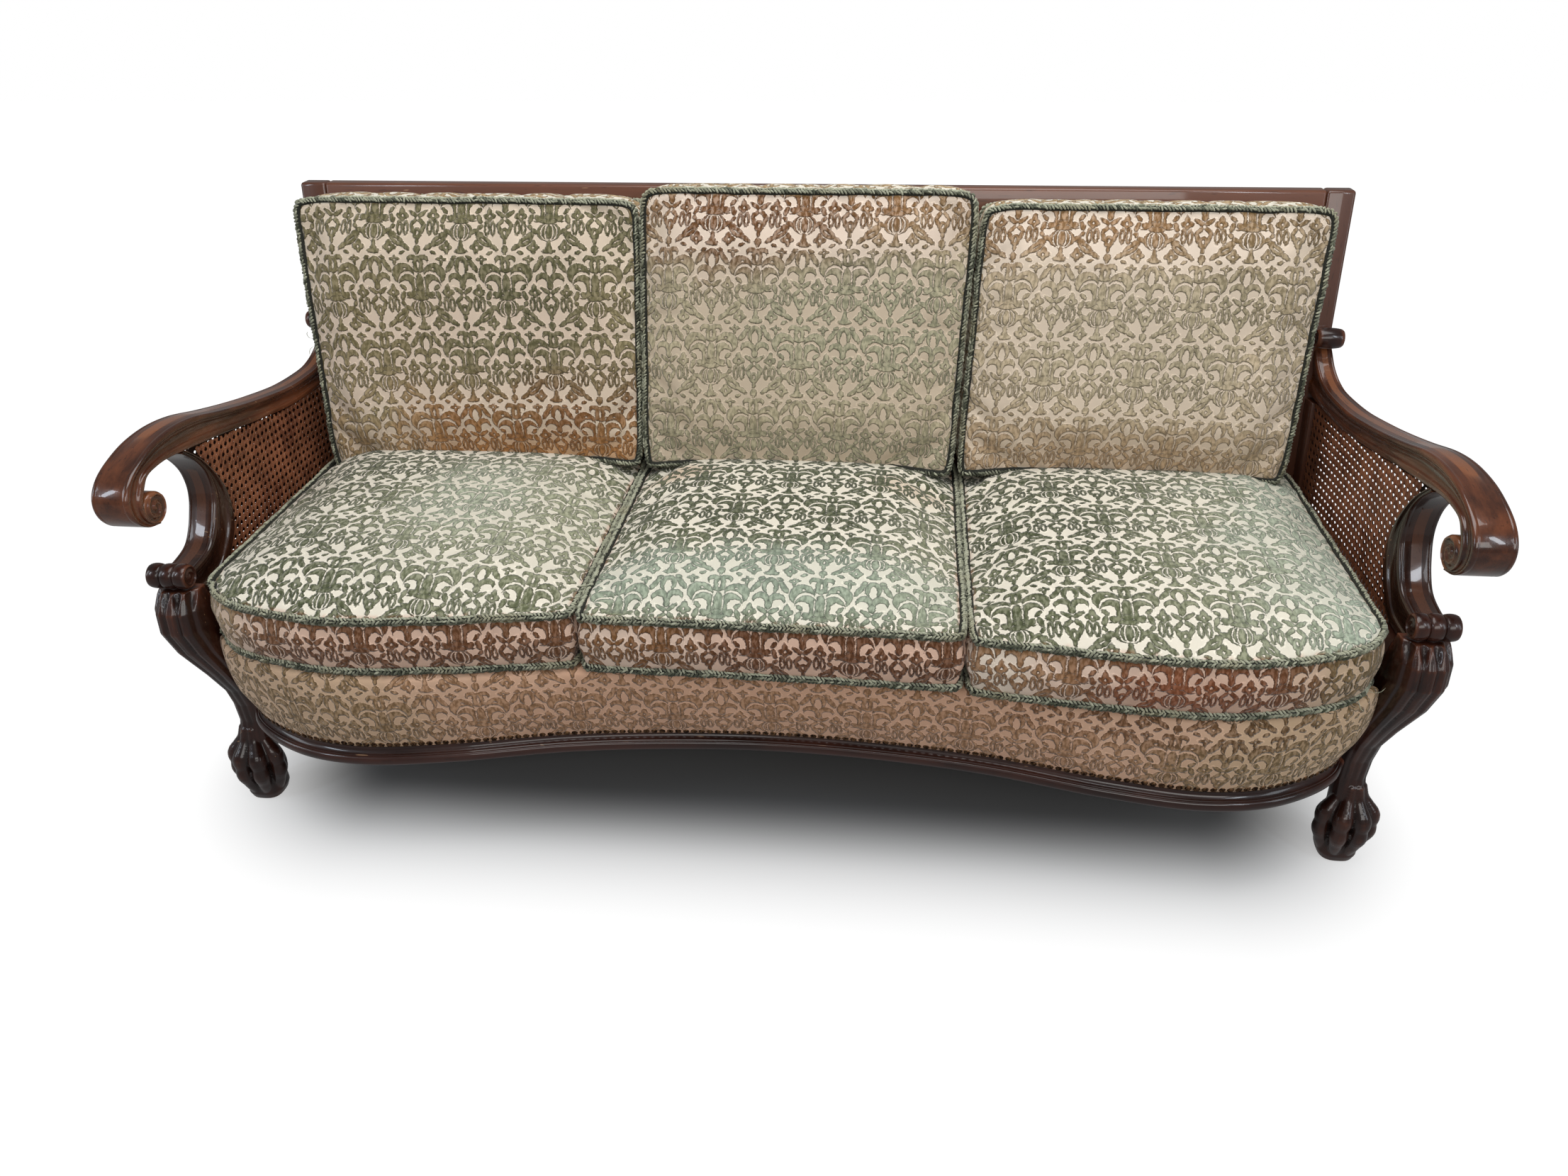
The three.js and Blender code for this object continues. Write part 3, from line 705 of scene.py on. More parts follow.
# %% Straight members
def eased(node, material, slot, width=2.2):
    """A board of the frame with its edges rounded by width millimetres."""
    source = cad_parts[node]
    piece = bpy.data.objects.new(node + "_board", source.data.copy())
    piece.data.name = piece.name
    piece.matrix_world = source.matrix_world.copy()
    scene.collection.objects.link(piece)
    activate(piece)
    bpy.ops.object.transform_apply(location=True, rotation=True, scale=True)
    close_up(piece, merge=0.01 * MM, fill=False)
    bpy.ops.object.mode_set(mode="EDIT")
    bpy.ops.mesh.select_all(action="SELECT")
    bpy.ops.mesh.dissolve_limited(angle_limit=math.radians(1))
    bpy.ops.object.mode_set(mode="OBJECT")
    apply_modifier(piece, "BEVEL", width=width * MM, segments=3, limit_method="ANGLE",
                   angle_limit=math.radians(35))
    smooth(piece, 35)
    store_rub(piece, 1)
    finished(piece, material, slot, node)


for side in ("left", "right"):
    eased(f"back_post_{side}", post_wood, "polished_wood", 4.5)
    eased(f"back_stile_{side}", post_wood, "polished_wood")
    eased(f"arm_stile_{side}", post_wood, "polished_wood")
    eased(f"arm_lower_rail_{side}", rail_wood, "polished_wood")
    eased(f"side_rail_{side}", rail_wood, "polished_wood")
eased("crest_rail", crest_wood, "polished_wood", 4.5)
eased("back_lower_rail", rail_wood, "polished_wood")
eased("seat_deck", hessian, "hessian", 8)

HIDDEN_FINISHES = {
    "seat_spring": steel, "front_corner_block": plain_wood, "rear_corner_block": plain_wood,
    "rear_seat_rail": plain_wood, "seat_webbing": hessian,
}
for node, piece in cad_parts.items():
    for start, material in HIDDEN_FINISHES.items():
        if node.startswith(start):
            piece.data.materials.clear()
            piece.data.materials.append(material)

# %% [markdown]
# ## The scroll arms
# Each arm was sawn to its scroll, then moulded: a rubbed bead along each top edge, a cove and a
# flat band on each side, and a broad rounded top. Pairs of points, one on top and one under, carry
# that section from the post, over the front and round into the volute.

# %% Side frame
CREST_TOP = 879
BACK_LEAN = 0.133
POST_TOP_FRONT = 328
BEND_START = -20
BEND_DEPTH = 20
ARM_END = 640
ARM_INNER = 868


def post_front(z):
    return POST_TOP_FRONT - BACK_LEAN * (CREST_TOP - z)


def bend(y):
    """How far the side frame comes in towards the post."""
    along = np.clip((y - BEND_START) / (post_front(ARM_END) - BEND_START), 0, 1)
    return -BEND_DEPTH * along ** 2


def arm_width(y):
    """54 mm at the nose, 40 mm above the seat's middle and 29 mm at the post."""
    return np.where(y < 110, lerp(54, 40, (y + 334) / 444), lerp(40, 29, (y - 110) / 186))


# %% Arm
ARM_PAIRS = [
    (295.5, 637, 285, 561), (273, 610, 259, 557), (244, 592, 232, 554), (209, 584, 205, 553),
    (139, 583, 141, 552), (62, 593, 72, 559), (-3, 605, 8, 569), (-70, 620, -58, 581),
    (-135, 636, -118, 591), (-188, 642, -178, 600), (-238, 639, -222, 606), (-278, 629, -254, 606),
    (-310, 615, -275, 602), (-329, 597, -288, 590), (-334, 577, -298, 576), (-326, 556, -301, 557),
    (-305, 538, -294, 541), (-278, 531, -277, 532.6),
]
# Half of the section: (share of the height, millimetres in from the side).
MOULDING = [
    (0.0, 6), (0.0, 3), (0.012, 1.3), (0.05, 0.7), (0.14, 0.6), (0.22, 0.8), (0.25, 2.2),
    (0.275, 4.4), (0.31, 5.4), (0.4, 6.2), (0.5, 6.1), (0.6, 5.0), (0.68, 3.2), (0.73, 1.9),
    (0.755, 2.6), (0.775, 1.5), (0.81, 0.3), (0.87, 0.0), (0.925, 0.6), (0.965, 2.0), (0.984, 3.6),
    (0.989, 5.2), (0.98, 6.4), (0.973, 7.2), (0.979, 8.6), (0.989, 12), (0.996, 17),
]


def moulded(name, pairs, inner, width, stations, shift=lambda y: 0.0 * y):
    """A moulded bar along the pairs of points: (y, z) on the show side, then (y, z) behind it."""
    half = np.array(MOULDING)
    heights = np.concatenate([half[:, 0], [1.0], half[::-1, 0]])
    insets = np.concatenate([half[:, 1], [0.0], half[::-1, 1]])
    sides = np.concatenate([np.zeros(len(half)), [0.5], np.ones(len(half))])
    ring = np.stack([heights, insets, sides], axis=-1)

    def place(u, v):
        height, inset, side = read(np.vstack([ring, ring[:1]]), u).T
        station = natural(pairs, v)
        top, under = station[:, :2], station[:, 2:]
        thick = np.linalg.norm(top - under, axis=1)
        shrink = np.clip(thick / 26, 0, 1)
        wide = width(top[:, 0])
        inset = inset * shrink * np.clip(wide / 46, 0.6, 1)
        sideways = np.where(side < 0.5, inset, wide - inset)
        sideways = np.where(np.abs(side - 0.5) < 0.49, lerp(inset, wide - inset, side), sideways)
        yz = under + (top - under) * height[:, None]
        x = inner + shift(yz[:, 0]) + sideways
        return np.column_stack([x, yz]) * MM

    rows = (2 * len(half) + 2) * 2
    return skin(name, rows, stations, place)


def scroll_face(name, centre, radius, inner, outer, pitch, start):
    """A round knob across the arm, with a spiral groove carved in both of its ends."""
    face_rows = 16
    rows = 2 * face_rows + 6
    rounding = 1.4

    def place(u, v):
        angle = 2 * np.pi * u
        row = np.round(v * rows)
        near = row <= face_rows
        far = row >= rows - face_rows
        out = np.where(near, row / face_rows, np.where(far, (rows - row) / face_rows, 1))
        reach = out * radius
        turned = (angle - start) % (2 * np.pi)
        phase = (reach - radius + pitch * turned / (2 * np.pi)) / pitch
        frac = phase - np.floor(phase)
        groove = 3.2 * np.sin(np.pi * np.clip((frac - 0.22) / 0.78, 0, 1)) ** 0.7
        groove = groove * np.clip(reach / (0.2 * radius), 0, 1)
        round_off = rounding * np.clip((out - 0.93) / 0.07, 0, 1)
        middle = (row - face_rows) / (rows - 2 * face_rows)
        x = np.where(near, inner + groove + round_off, np.where(far, outer - groove - round_off,
                     lerp(inner + rounding, outer - rounding, np.clip(middle, 0, 1))))
        y = centre[0] + reach * np.cos(angle)
        z = centre[1] + reach * np.sin(angle)
        return np.column_stack([x, y, z]) * MM

    return skin(name, 72, rows, place)


def arm():
    band = moulded("arm_band", ARM_PAIRS, ARM_INNER, arm_width, 190, bend)
    knob = scroll_face("arm_knob", (-276, 555), 23.3, ARM_INNER + 0.4, ARM_INNER + 52.4, 12.5, -math.pi / 2)
    whole = joined("scroll_arm_right", [band, knob])
    smooth(whole, 42)
    store_rub(whole, 3)
    return whole


both_sides(arm(), arm_wood, "polished_wood", "arm")

# %% [markdown]
# ## Stumps and rolls
# The C-shaped stump has the same moulding as the arm. A ribbed roll lies over each knee, and a
# small barrel-shaped one caps the arm where it meets the post. Both were turned on a lathe.

# %% Arm stumps
STUMP_PAIRS = [
    (-193, 600.5, -180, 600.5), (-167, 579, -150, 574), (-149, 554, -127, 543), (-143, 528, -113, 516),
    (-146, 506, -107, 494), (-156, 485, -106.5, 472), (-169, 465, -115, 444), (-188, 447, -136, 418),
    (-217, 439.5, -170, 393), (-257, 436, -250, 388.5),
]
right_stump = moulded("arm_stump_c_right", STUMP_PAIRS, 866, lambda y: 46 + 0 * y, 110)
smooth(right_stump, 42)
store_rub(right_stump, 3)
both_sides(right_stump, stump_wood, "polished_wood", "arm_stump")


# %% Turned rolls
def turned_roll(name, y, z, radius, inner, outer, beads, waist):
    """A roll on a lathe across the sofa, with a small spiral carved in its inner end."""
    length = outer - inner
    face_rows = 8
    rows = 2 * face_rows + 16 * beads

    def place(u, v):
        angle = 2 * np.pi * u
        row = np.round(v * rows)
        near = row <= face_rows
        far = row >= rows - face_rows
        share = np.clip((row - face_rows) / (rows - 2 * face_rows), 0, 1)
        bead = np.abs(np.sin(np.pi * beads * share)) ** 0.45
        body = radius * (1 - waist + waist * bead)
        rim = radius * (1 - waist)
        out = np.where(near, rim * row / face_rows, np.where(far, rim * (rows - row) / face_rows, body))
        pitch = radius * 0.42
        phase = (out + pitch * angle / (2 * np.pi)) / pitch
        frac = phase - np.floor(phase)
        groove = 1.8 * np.sin(np.pi * np.clip((frac - 0.25) / 0.75, 0, 1)) ** 0.7
        groove = groove * np.clip(out / 3, 0, 1) * np.clip((rim - out) / 1.5, 0, 1)
        x = np.where(near, inner + groove, np.where(far, outer - groove, inner + length * share))
        return np.column_stack([x, y + out * np.cos(angle), z + out * np.sin(angle)]) * MM

    piece = skin(name, 56, rows, place)
    smooth(piece, 50)
    store_rub(piece, 3)
    return piece


rolls = {
    "knee_roll": turned_roll("knee_bead_right", -278, 445, 18.7, 849, 908, 3, 0.2),
    "arm_roll": turned_roll("arm_cap_right", 280.6, 655, 17, 842, 884, 1, 0.24),
}
for node, right_roll in rolls.items():
    both_sides(right_roll, leg_wood, "polished_wood", node)

# %% [markdown]
# ## Carved front legs
# A cabriole leg with leaves over the knee, flutes that run down to the ankle, and a paw with four
# toes. The leg's levels come from the frame. The leaves and flutes are waves round each level,
# and each toe is a row of balls. A voxel remesh makes one skin of them, as if cut from one block.

# %% Leg body
# Each level of the leg is (height, middle across, middle along, half width, half depth).
LEG_LEVELS = [
    (3, 861, -221, 25, 26), (14, 861, -221, 29, 30), (40, 861, -221, 28, 29), (70, 861, -221, 27, 28),
    (95, 861, -221, 26, 27), (120, 858, -218, 23, 24), (150, 857, -213, 20.5, 21.5),
    (185, 857, -214, 21.5, 23.5), (220, 858, -218, 23, 30), (263, 863, -223, 29, 46),
    (319, 873, -235, 38, 62), (363, 877, -243, 41, 70), (395, 877, -242, 40, 69), (423, 876, -235, 35, 60),
]
LOBES = 13
CORNER_POWER = 2.8


def leg_body():
    levels = np.array(LEG_LEVELS, dtype=float)

    def place(u, v):
        angle = 2 * np.pi * u
        z = lerp(levels[0, 0], levels[-1, 0], v)
        x, y, wide, deep = (np.interp(z, levels[:, 0], levels[:, column]) for column in range(1, 5))
        across, along = np.cos(angle), np.sin(angle)
        fill = (np.abs(across) ** CORNER_POWER + np.abs(along) ** CORNER_POWER) ** (-1 / CORNER_POWER)
        lobe = np.abs(np.cos(LOBES * (angle + math.radians(62)) / 2))
        knee = np.clip((z - 225) / 70, 0, 1)
        depth = lerp(1.7, 3.4, knee) * np.clip((z - 60) / 60, 0, 1)
        show = np.clip(0.35 - along * 0.9 + across * 0.35, 0, 1)
        carved = depth * show * (lobe ** 0.7 - 0.75)
        scallop = np.clip((z - (398 + 20 * lobe ** 2)) / 10, 0, 1) * 3.2 * show
        vein = 0.8 * show * knee * np.exp(-((lobe - 1) / 0.03) ** 2)
        reach = 1 + (carved - scallop - vein) / wide
        return np.column_stack([x + across * wide * fill * reach, y + along * deep * fill * reach, z]) * MM

    return skin("leg_body", 132, 260, place)


def ball(name, centre, radii):
    """One rounded lump of a paw."""
    deselect_all()
    bpy.ops.mesh.primitive_uv_sphere_add(segments=20, ring_count=12, radius=1)
    lump = bpy.context.object
    lump.name = name
    size = Matrix.Diagonal((*(radius * MM for radius in radii), 1))
    lump.data.transform(Matrix.Translation(Vector(centre) * MM) @ size)
    return lump


FOOT = (861, -221)
# The way each toe points, in degrees.
TOES = (-66, -112, -22, -158)
# A toe from the ankle down to its claw: (reach from the foot's middle, height, radius).
TOE = [(13, 134, 8.5), (18, 116, 9.8), (26, 102, 12.2), (34, 88, 14.8), (35.5, 73, 12.2), (36, 59, 13.2),
       (32, 45, 11.4), (28, 33, 10.4), (23, 21, 9), (18, 8.5, 7)]


def paw():
    lumps = [ball("heel", (FOOT[0] + 1, -194, 40), (23, 18, 38)), ball("pad", (*FOOT, 22), (29, 29, 22))]
    for toe in TOES:
        out_x, out_y = math.cos(math.radians(toe)), math.sin(math.radians(toe))
        for reach, height, radius in natural(TOE, np.linspace(0, 1, 34)):
            spot = (FOOT[0] + out_x * reach, FOOT[1] + out_y * reach, height)
            lumps.append(ball("toe", spot, (radius, radius, radius)))
    return lumps


LEG_TOP = 0.424
RAIL_SEAT = 0.3878
RAIL_UNDERSIDE = 0.248
RAIL_FRONT = -0.1755
STUMP_FRONT = -0.2585


def front_leg():
    """The carved block, cut flat where the rail, the stump and the floor meet it."""
    whole = joined("carved_leg_right", [leg_body(), *paw()])
    whole.data.remesh_voxel_size = 1.9 * MM
    activate(whole)
    bpy.ops.object.voxel_remesh()
    apply_modifier(whole, "SMOOTH", factor=0.5, iterations=3)
    points = coordinates(whole)
    points[:, 2] = np.clip(points[:, 2], 0.0, LEG_TOP)
    behind = (points[:, 1] > RAIL_FRONT) & (points[:, 2] > RAIL_UNDERSIDE)
    points[behind, 1] = RAIL_FRONT
    top = (points[:, 2] > RAIL_SEAT) & (points[:, 1] > STUMP_FRONT)
    points[top, 2] = RAIL_SEAT
    move_to(whole, points)
    close_up(whole, merge=0.3 * MM, fill=False)
    smooth(whole, 60)
    store_rub(whole, 5)
    return whole


both_sides(front_leg(), leg_wood, "polished_wood", "front_leg")

# %% [markdown]
# ## The serpentine front
# The rail, its nails, the padded border and the seat cushions all follow one curve in plan, which
# comes forward on each side and goes back in the middle. The curve is the frame's own.

# %% Front curve
RAIL_HALF = [(0, -282), (160, -290), (310, -310), (475, -348), (600, -365), (690, -354), (760, -322),
             (806, -285), (829, -247)]
CUSHION_HALF = [(0, -333), (160, -334), (310, -340), (475, -361), (600, -370), (690, -357), (768, -331),
                (802, -307), (820, -284)]
RAIL_FACE_LEVEL = 183
WELT_HEIGHT = 433


def centripetal(points, places):
    """The frame's kind of curve: each stretch is timed by the square root of its length."""
    p0, p1, p2, p3, t = stretches(points, places)
    spans = ((p0, p1), (p1, p2), (p2, p3))
    d0, d1, d2 = (np.sqrt(np.linalg.norm(end - start, axis=1))[:, None] for start, end in spans)
    m1 = ((p1 - p0) / d0 - (p2 - p0) / (d0 + d1) + (p2 - p1) / d1) * d1
    m2 = ((p2 - p1) / d1 - (p3 - p1) / (d1 + d2) + (p3 - p2) / d2) * d1
    return p1 + m1 * t + (3 * (p2 - p1) - 2 * m1 - m2) * t ** 2 + (2 * (p1 - p2) + m1 + m2) * t ** 3


def whole_front(half):
    return [(-x, y) for x, y in half[:0:-1]] + list(half)


FRONT_TIMES = np.linspace(0, 1, 2001)
RAIL_LINE = centripetal(whole_front(RAIL_HALF), FRONT_TIMES)
CUSHION_LINE = centripetal(whole_front(CUSHION_HALF), FRONT_TIMES)
RAIL_LENGTHS = lengths_along(RAIL_LINE)
RAIL_TANGENT = np.gradient(RAIL_LINE, axis=0)
RAIL_TANGENT = RAIL_TANGENT / np.linalg.norm(RAIL_TANGENT, axis=1)[:, None]


def on_front(along, depth, z, leaning):
    """A point of the front: along is a share of the rail's length, depth goes in from its face."""
    time = np.interp(along * RAIL_LENGTHS[-1], RAIL_LENGTHS, FRONT_TIMES)
    rail, upper, tangent = (read(table, time) for table in (RAIL_LINE, CUSHION_LINE, RAIL_TANGENT))
    rise = (z - RAIL_FACE_LEVEL) / (WELT_HEIGHT - RAIL_FACE_LEVEL) if leaning else np.zeros_like(z)
    plan = rail + (upper - rail) * rise[:, None]
    return np.column_stack([plan[:, 0] - tangent[:, 1] * depth, plan[:, 1] + tangent[:, 0] * depth, z]) * MM


def front_at(x):
    """The front edge of the cushions at a place across the sofa."""
    return np.interp(x, CUSHION_LINE[:, 0], CUSHION_LINE[:, 1])


print("front:", round(RAIL_LENGTHS[-1]), "mm along the rail")

# %% Front rail
RAIL_SECTION = [
    (0.8, 184.6), (3, 183), (9, 182.8), (14, 183), (15.5, 187), (18, 196), (31, 196), (44, 196),
    (44, 229), (44, 262), (31, 262), (18, 262), (18, 236), (18, 211), (16.4, 210.9), (14.6, 210.2),
    (12.6, 208.8), (12.2, 206.4), (11.4, 204.2), (9.6, 201.8), (7.2, 200.0), (5.2, 199.2), (4.4, 197.8),
    (2.6, 197.2), (0.8, 195.4), (-0.3, 192.6), (-0.5, 189.8), (-0.1, 186.8),
]


def front_rail():
    ring = np.array(RAIL_SECTION + RAIL_SECTION[:1])

    def place(u, v):
        depth, z = read(ring, u).T
        return on_front(v, depth, z, False)

    rail = skin("moulded_front_rail", len(RAIL_SECTION) * 2, 300, place)
    smooth(rail, 38)
    store_rub(rail, 2)
    finished(rail, rail_wood, "polished_wood", "front_rail")


front_rail()


# %% Nails
def repeated(name, source, matrices, shades=None):
    """Copies of a small mesh, one for each matrix, as one object."""
    points = coordinates(source)
    faces = [tuple(face.vertices) for face in source.data.polygons]
    flat = np.array([corner for face in faces for corner in face])
    sizes = np.array([len(face) for face in faces])
    matrices = np.asarray(matrices)
    placed = np.einsum("kij,nj->kni", matrices[:, :3, :3], points) + matrices[:, None, :3, 3]
    count = len(matrices)
    mesh = bpy.data.meshes.new(name)
    mesh.vertices.add(count * len(points))
    mesh.vertices.foreach_set("co", placed.ravel())
    mesh.loops.add(count * len(flat))
    mesh.loops.foreach_set("vertex_index", (flat[None] + np.arange(count)[:, None] * len(points)).ravel())
    mesh.polygons.add(count * len(faces))
    starts = np.concatenate([[0], np.cumsum(np.tile(sizes, count))[:-1]])
    mesh.polygons.foreach_set("loop_start", starts)
    mesh.update(calc_edges=True)
    mesh.validate()
    mesh.polygons.foreach_set("use_smooth", np.full(len(mesh.polygons), True))
    piece = bpy.data.objects.new(name, mesh)
    scene.collection.objects.link(piece)
    if shades is not None:
        store(piece, "shade", np.repeat(shades, len(points)))
    return piece


def small_sphere(segments, rings):
    deselect_all()
    bpy.ops.mesh.primitive_uv_sphere_add(segments=segments, ring_count=rings, radius=1)
    return bpy.context.object


NAIL_PITCH = 11.8
NAIL_LEVEL = 217.5
NAIL_DEPTH = 9.2
NAIL_SIZE = Matrix.Diagonal((4.9 * MM, 4.9 * MM, 3.4 * MM, 1))
nail_count = int(RAIL_LENGTHS[-1] / NAIL_PITCH)
nail_shares = (np.arange(nail_count) + 0.5) / nail_count
nail_levels = np.full(nail_count, NAIL_LEVEL)
nail_points = on_front(nail_shares, np.full(nail_count, NAIL_DEPTH), nail_levels, True)
nail_ahead = on_front(nail_shares, np.full(nail_count, NAIL_DEPTH) - 1, nail_levels, True) - nail_points
nail_matrices = []
for point, ahead in zip(nail_points, nail_ahead):
    turn = Vector(ahead).to_track_quat("Z", "Y").to_matrix().to_4x4()
    nail_matrices.append(Matrix.Translation(point) @ turn @ NAIL_SIZE)
template = small_sphere(12, 8)
nails = repeated("dome_nails", template, np.array(nail_matrices))
bpy.data.objects.remove(template)
finished(nails, bronze, "nail_heads")

# %% [markdown]
# ## Fading, stains and painted sheen
# The pile has faded unevenly: green in some places, sage or mint in others, and golden brown where
# it is soiled. The same patches also paint in the pile's sheen, which looks greener or paler where the
# pile is brushed one way. Each padded piece is painted in code with a few soft patches. A patch is an
# oval on the face, and a slow random ripple breaks its edge.

# %% Painting helpers
GREEN = paint(98, 102, 74)
DEEP_GREEN = paint(70, 76, 50)
OLIVE = paint(112, 100, 66)
SAGE = paint(150, 152, 126)
MINT = paint(176, 190, 172)
GOLD = paint(138, 96, 52)
BROWN = paint(98, 60, 36)
TAN = paint(164, 128, 92)
STRAW = paint(180, 160, 124)
CREAM = paint(234, 226, 208)
LINEN = paint(218, 200, 178)
BLUSH = paint(226, 200, 180)
ROSE = paint(222, 182, 158)
RUST = paint(132, 74, 46)
HONEY = paint(196, 146, 96)


def ripple(points, seed, scale):
    """A slow random ripple from -1 to 1."""
    rng = np.random.default_rng(seed)
    total = np.zeros(len(points))
    for _ in range(9):
        direction = rng.normal(size=3)
        direction *= 2 * np.pi * scale * rng.uniform(0.5, 1.6) / np.linalg.norm(direction)
        total += np.sin(points @ direction + rng.uniform(0, 2 * np.pi))
    return total / 5


def patch(across, up, centre, size, strength, rough):
    """How strongly an oval patch covers each point; rough shakes its edge."""
    distance = np.hypot((across - centre[0]) / size[0], (up - centre[1]) / size[1])
    return strength / (1 + np.exp((distance - 1 + 0.25 * rough) * 6))


def painted(base, layers, across, up, rough):
    colours = np.tile(np.array(base), (len(across), 1))
    for colour, centre, size, strength in layers:
        cover = patch(across, up, centre, size, strength, rough)[:, None]
        colours = colours * (1 - cover) + np.array(colour) * cover
    return colours


# The patches paint both fading and painted sheen into the pile and the ground.
def fade_and_sheen(piece, across, up, seed, faces):
    """faces: (where, pile base, pile layers, ground base, ground layers, wear) for each face."""
    points = coordinates(piece)
    rough = ripple(points, seed, 9) + 0.6 * ripple(points, seed + 1, 28)
    pile = np.zeros((len(points), 4))
    ground = np.zeros((len(points), 4))
    wear = np.zeros(len(points))
    for where, pile_base, pile_layers, ground_base, ground_layers, worn in faces:
        share = where[:, None]
        pile += share * painted(pile_base, pile_layers, across, up, rough)
        ground += share * painted(ground_base, ground_layers, across, up, rough)
        wear += where * worn
    tone = (1 + 0.07 * rough)[:, None]
    store(piece, "pile", np.clip(pile * tone, 0, 1), "FLOAT_COLOR")
    store(piece, "ground", np.clip(ground * (1 + 0.03 * rough)[:, None], 0, 1), "FLOAT_COLOR")
    store(piece, "wear", wear)


# %% Front border
BORDER_LOW = 214
END_BULGE = 11
BORDER_PILE = [(OLIVE, (-0.86, 0.6), (0.24, 0.8), 0.6), (OLIVE, (0.88, 0.6), (0.24, 0.9), 0.7),
               (BROWN, (0.62, 0.9), (0.25, 0.3), 0.6)]
BORDER_GROUND = [(paint(214, 166, 136), (0.05, 0.4), (0.6, 1.3), 0.6),
                 (paint(200, 176, 140), (0.92, 0.5), (0.2, 1), 0.6),
                 (paint(200, 176, 142), (-0.85, 0.5), (0.25, 1), 0.5)]


def front_border():
    """Padding over the rail: it swells between the seams and is drawn in at each nail."""
    section = [(17.7, 211.5), (17.7, 237), (17.7, 262.3), (31, 262.3), (44, 262.3), (44, 303), (44, 343.7),
               (26, 343.7), (8, 343.7)]
    face = even([(8, 343.7), (-1.4, 338), (-4.6, 318), (-4.4, 290), (-1.6, 262), (3.4, 236), (8.6, 217.5),
                 (11, 211.5)], np.linspace(0, 1, 26))
    ring = np.vstack([section[:-1], face, section[:1]])
    lengths = lengths_along(ring)

    def sway(u, v):
        depth, z = read(ring, u).T
        face_share = np.clip((14 - depth) / 14, 0, 1)
        nail = np.cos(2 * np.pi * v * nail_count) * np.exp(-((z - 219) / 7) ** 2) * 0.9
        swell = 1.6 * np.sin(2 * np.pi * v * 7 + 1) * np.sin(np.pi * np.clip((z - 215) / 125, 0, 1))
        end = np.clip((np.abs(2 * v - 1) - 0.86) / 0.14, 0, 1) * face_share
        end = end * np.clip((z - BORDER_LOW) / 40, 0, 1)
        points = on_front(v, depth - (nail + swell) * face_share, z, True)
        return points + np.column_stack([np.sign(2 * v - 1) * end * END_BULGE, 0 * v, 0 * v]) * MM

    def cloth(u, v):
        run = np.interp(u, np.linspace(0, 1, len(ring)), lengths)
        return np.column_stack([(v - 0.5) * RAIL_LENGTHS[-1] * MM, (lengths[-1] - run) * MM - 0.032])

    border = skin("padded_border", 2 * (len(ring) - 1), 340, sway, cloth)
    smooth(border, 50)
    points = coordinates(border)
    across = points[:, 0] / 0.83
    up = (points[:, 2] - 0.21) / 0.13
    whole = np.ones(len(points))
    face = (whole, paint(152, 114, 82), BORDER_PILE, paint(216, 178, 150), BORDER_GROUND, 0.85)
    fade_and_sheen(border, across, up, 3, [face])
    finished(border, cut_velvet, "cut_velvet", "front_border")


front_border()

# %% [markdown]
# ## Loose cushions
# A boxed cushion is two panels and a band sewn round them. Three grids share their edges, so each
# panel keeps the straight run of its cloth. A cloth simulation then blows the cushion up a little
# while the seams are held, which gives the full crown and the small puckers beside each seam.

# %% Cushion maker
ACROSS, THROUGH, BANDS = 54, 54, 8
CLOTH_FRAMES = 20
PRESSURE = 3.0


def edge_of_panel(share):
    """Goes round the edge of a panel: share 0 to 1 gives a place from 0 to 1 across and through."""
    step = np.round(share * 2 * (ACROSS + THROUGH))
    a = np.clip(step, 0, ACROSS) - np.clip(step - ACROSS - THROUGH, 0, ACROSS)
    b = np.clip(step - ACROSS, 0, THROUGH) - np.clip(step - 2 * ACROSS - THROUGH, 0, THROUGH)
    return a / ACROSS, b / THROUGH


def boxed(name, front, back, cloth_front, cloth_band, bulge):
    """front and back place the panels' points, and bulge(a, b) is the band's way out in metres."""
    panels = [
        skin(name + "_panel", ACROSS, THROUGH, front, cloth_front, closed=False),
        skin(name + "_rear", ACROSS, THROUGH, back, cloth_front, closed=False),
    ]

    def band(share, rise):
        a, b = edge_of_panel(share)
        return lerp(back(a, b), front(a, b), rise[:, None]) + bulge(a, b) * np.sin(np.pi * rise)[:, None]

    panels.append(skin(name + "_band", 2 * (ACROSS + THROUGH), BANDS, band, cloth_band, closed=False))
    for panel, on_face in zip(panels, (1.0, 0.0, 0.0)):
        store(panel, "face", np.full(len(panel.data.vertices), on_face))
    whole = joined(name, panels)
    close_up(whole, merge=0.05 * MM, fill=False)
    return whole


def on_face(piece):
    """1 on the cushion's face, 0 on its band and its other side."""
    values = np.empty(len(piece.data.vertices))
    piece.data.attributes["face"].data.foreach_get("value", values)
    return np.clip(values * 1.6 - 0.3, 0, 1)


def seam_line(panel):
    """The edge of a panel as a closed line."""
    count = 2 * (ACROSS + THROUGH)
    a, b = edge_of_panel(np.arange(count) / count)
    return panel(a, b)


def on_seam(points, line):
    """1 for each point that is on the seam, 0 for the others."""
    nearest = np.min(np.linalg.norm(points[:, None] - line[None], axis=2), axis=1)
    return np.where(nearest < 0.5 * MM, 1.0, 0.0)


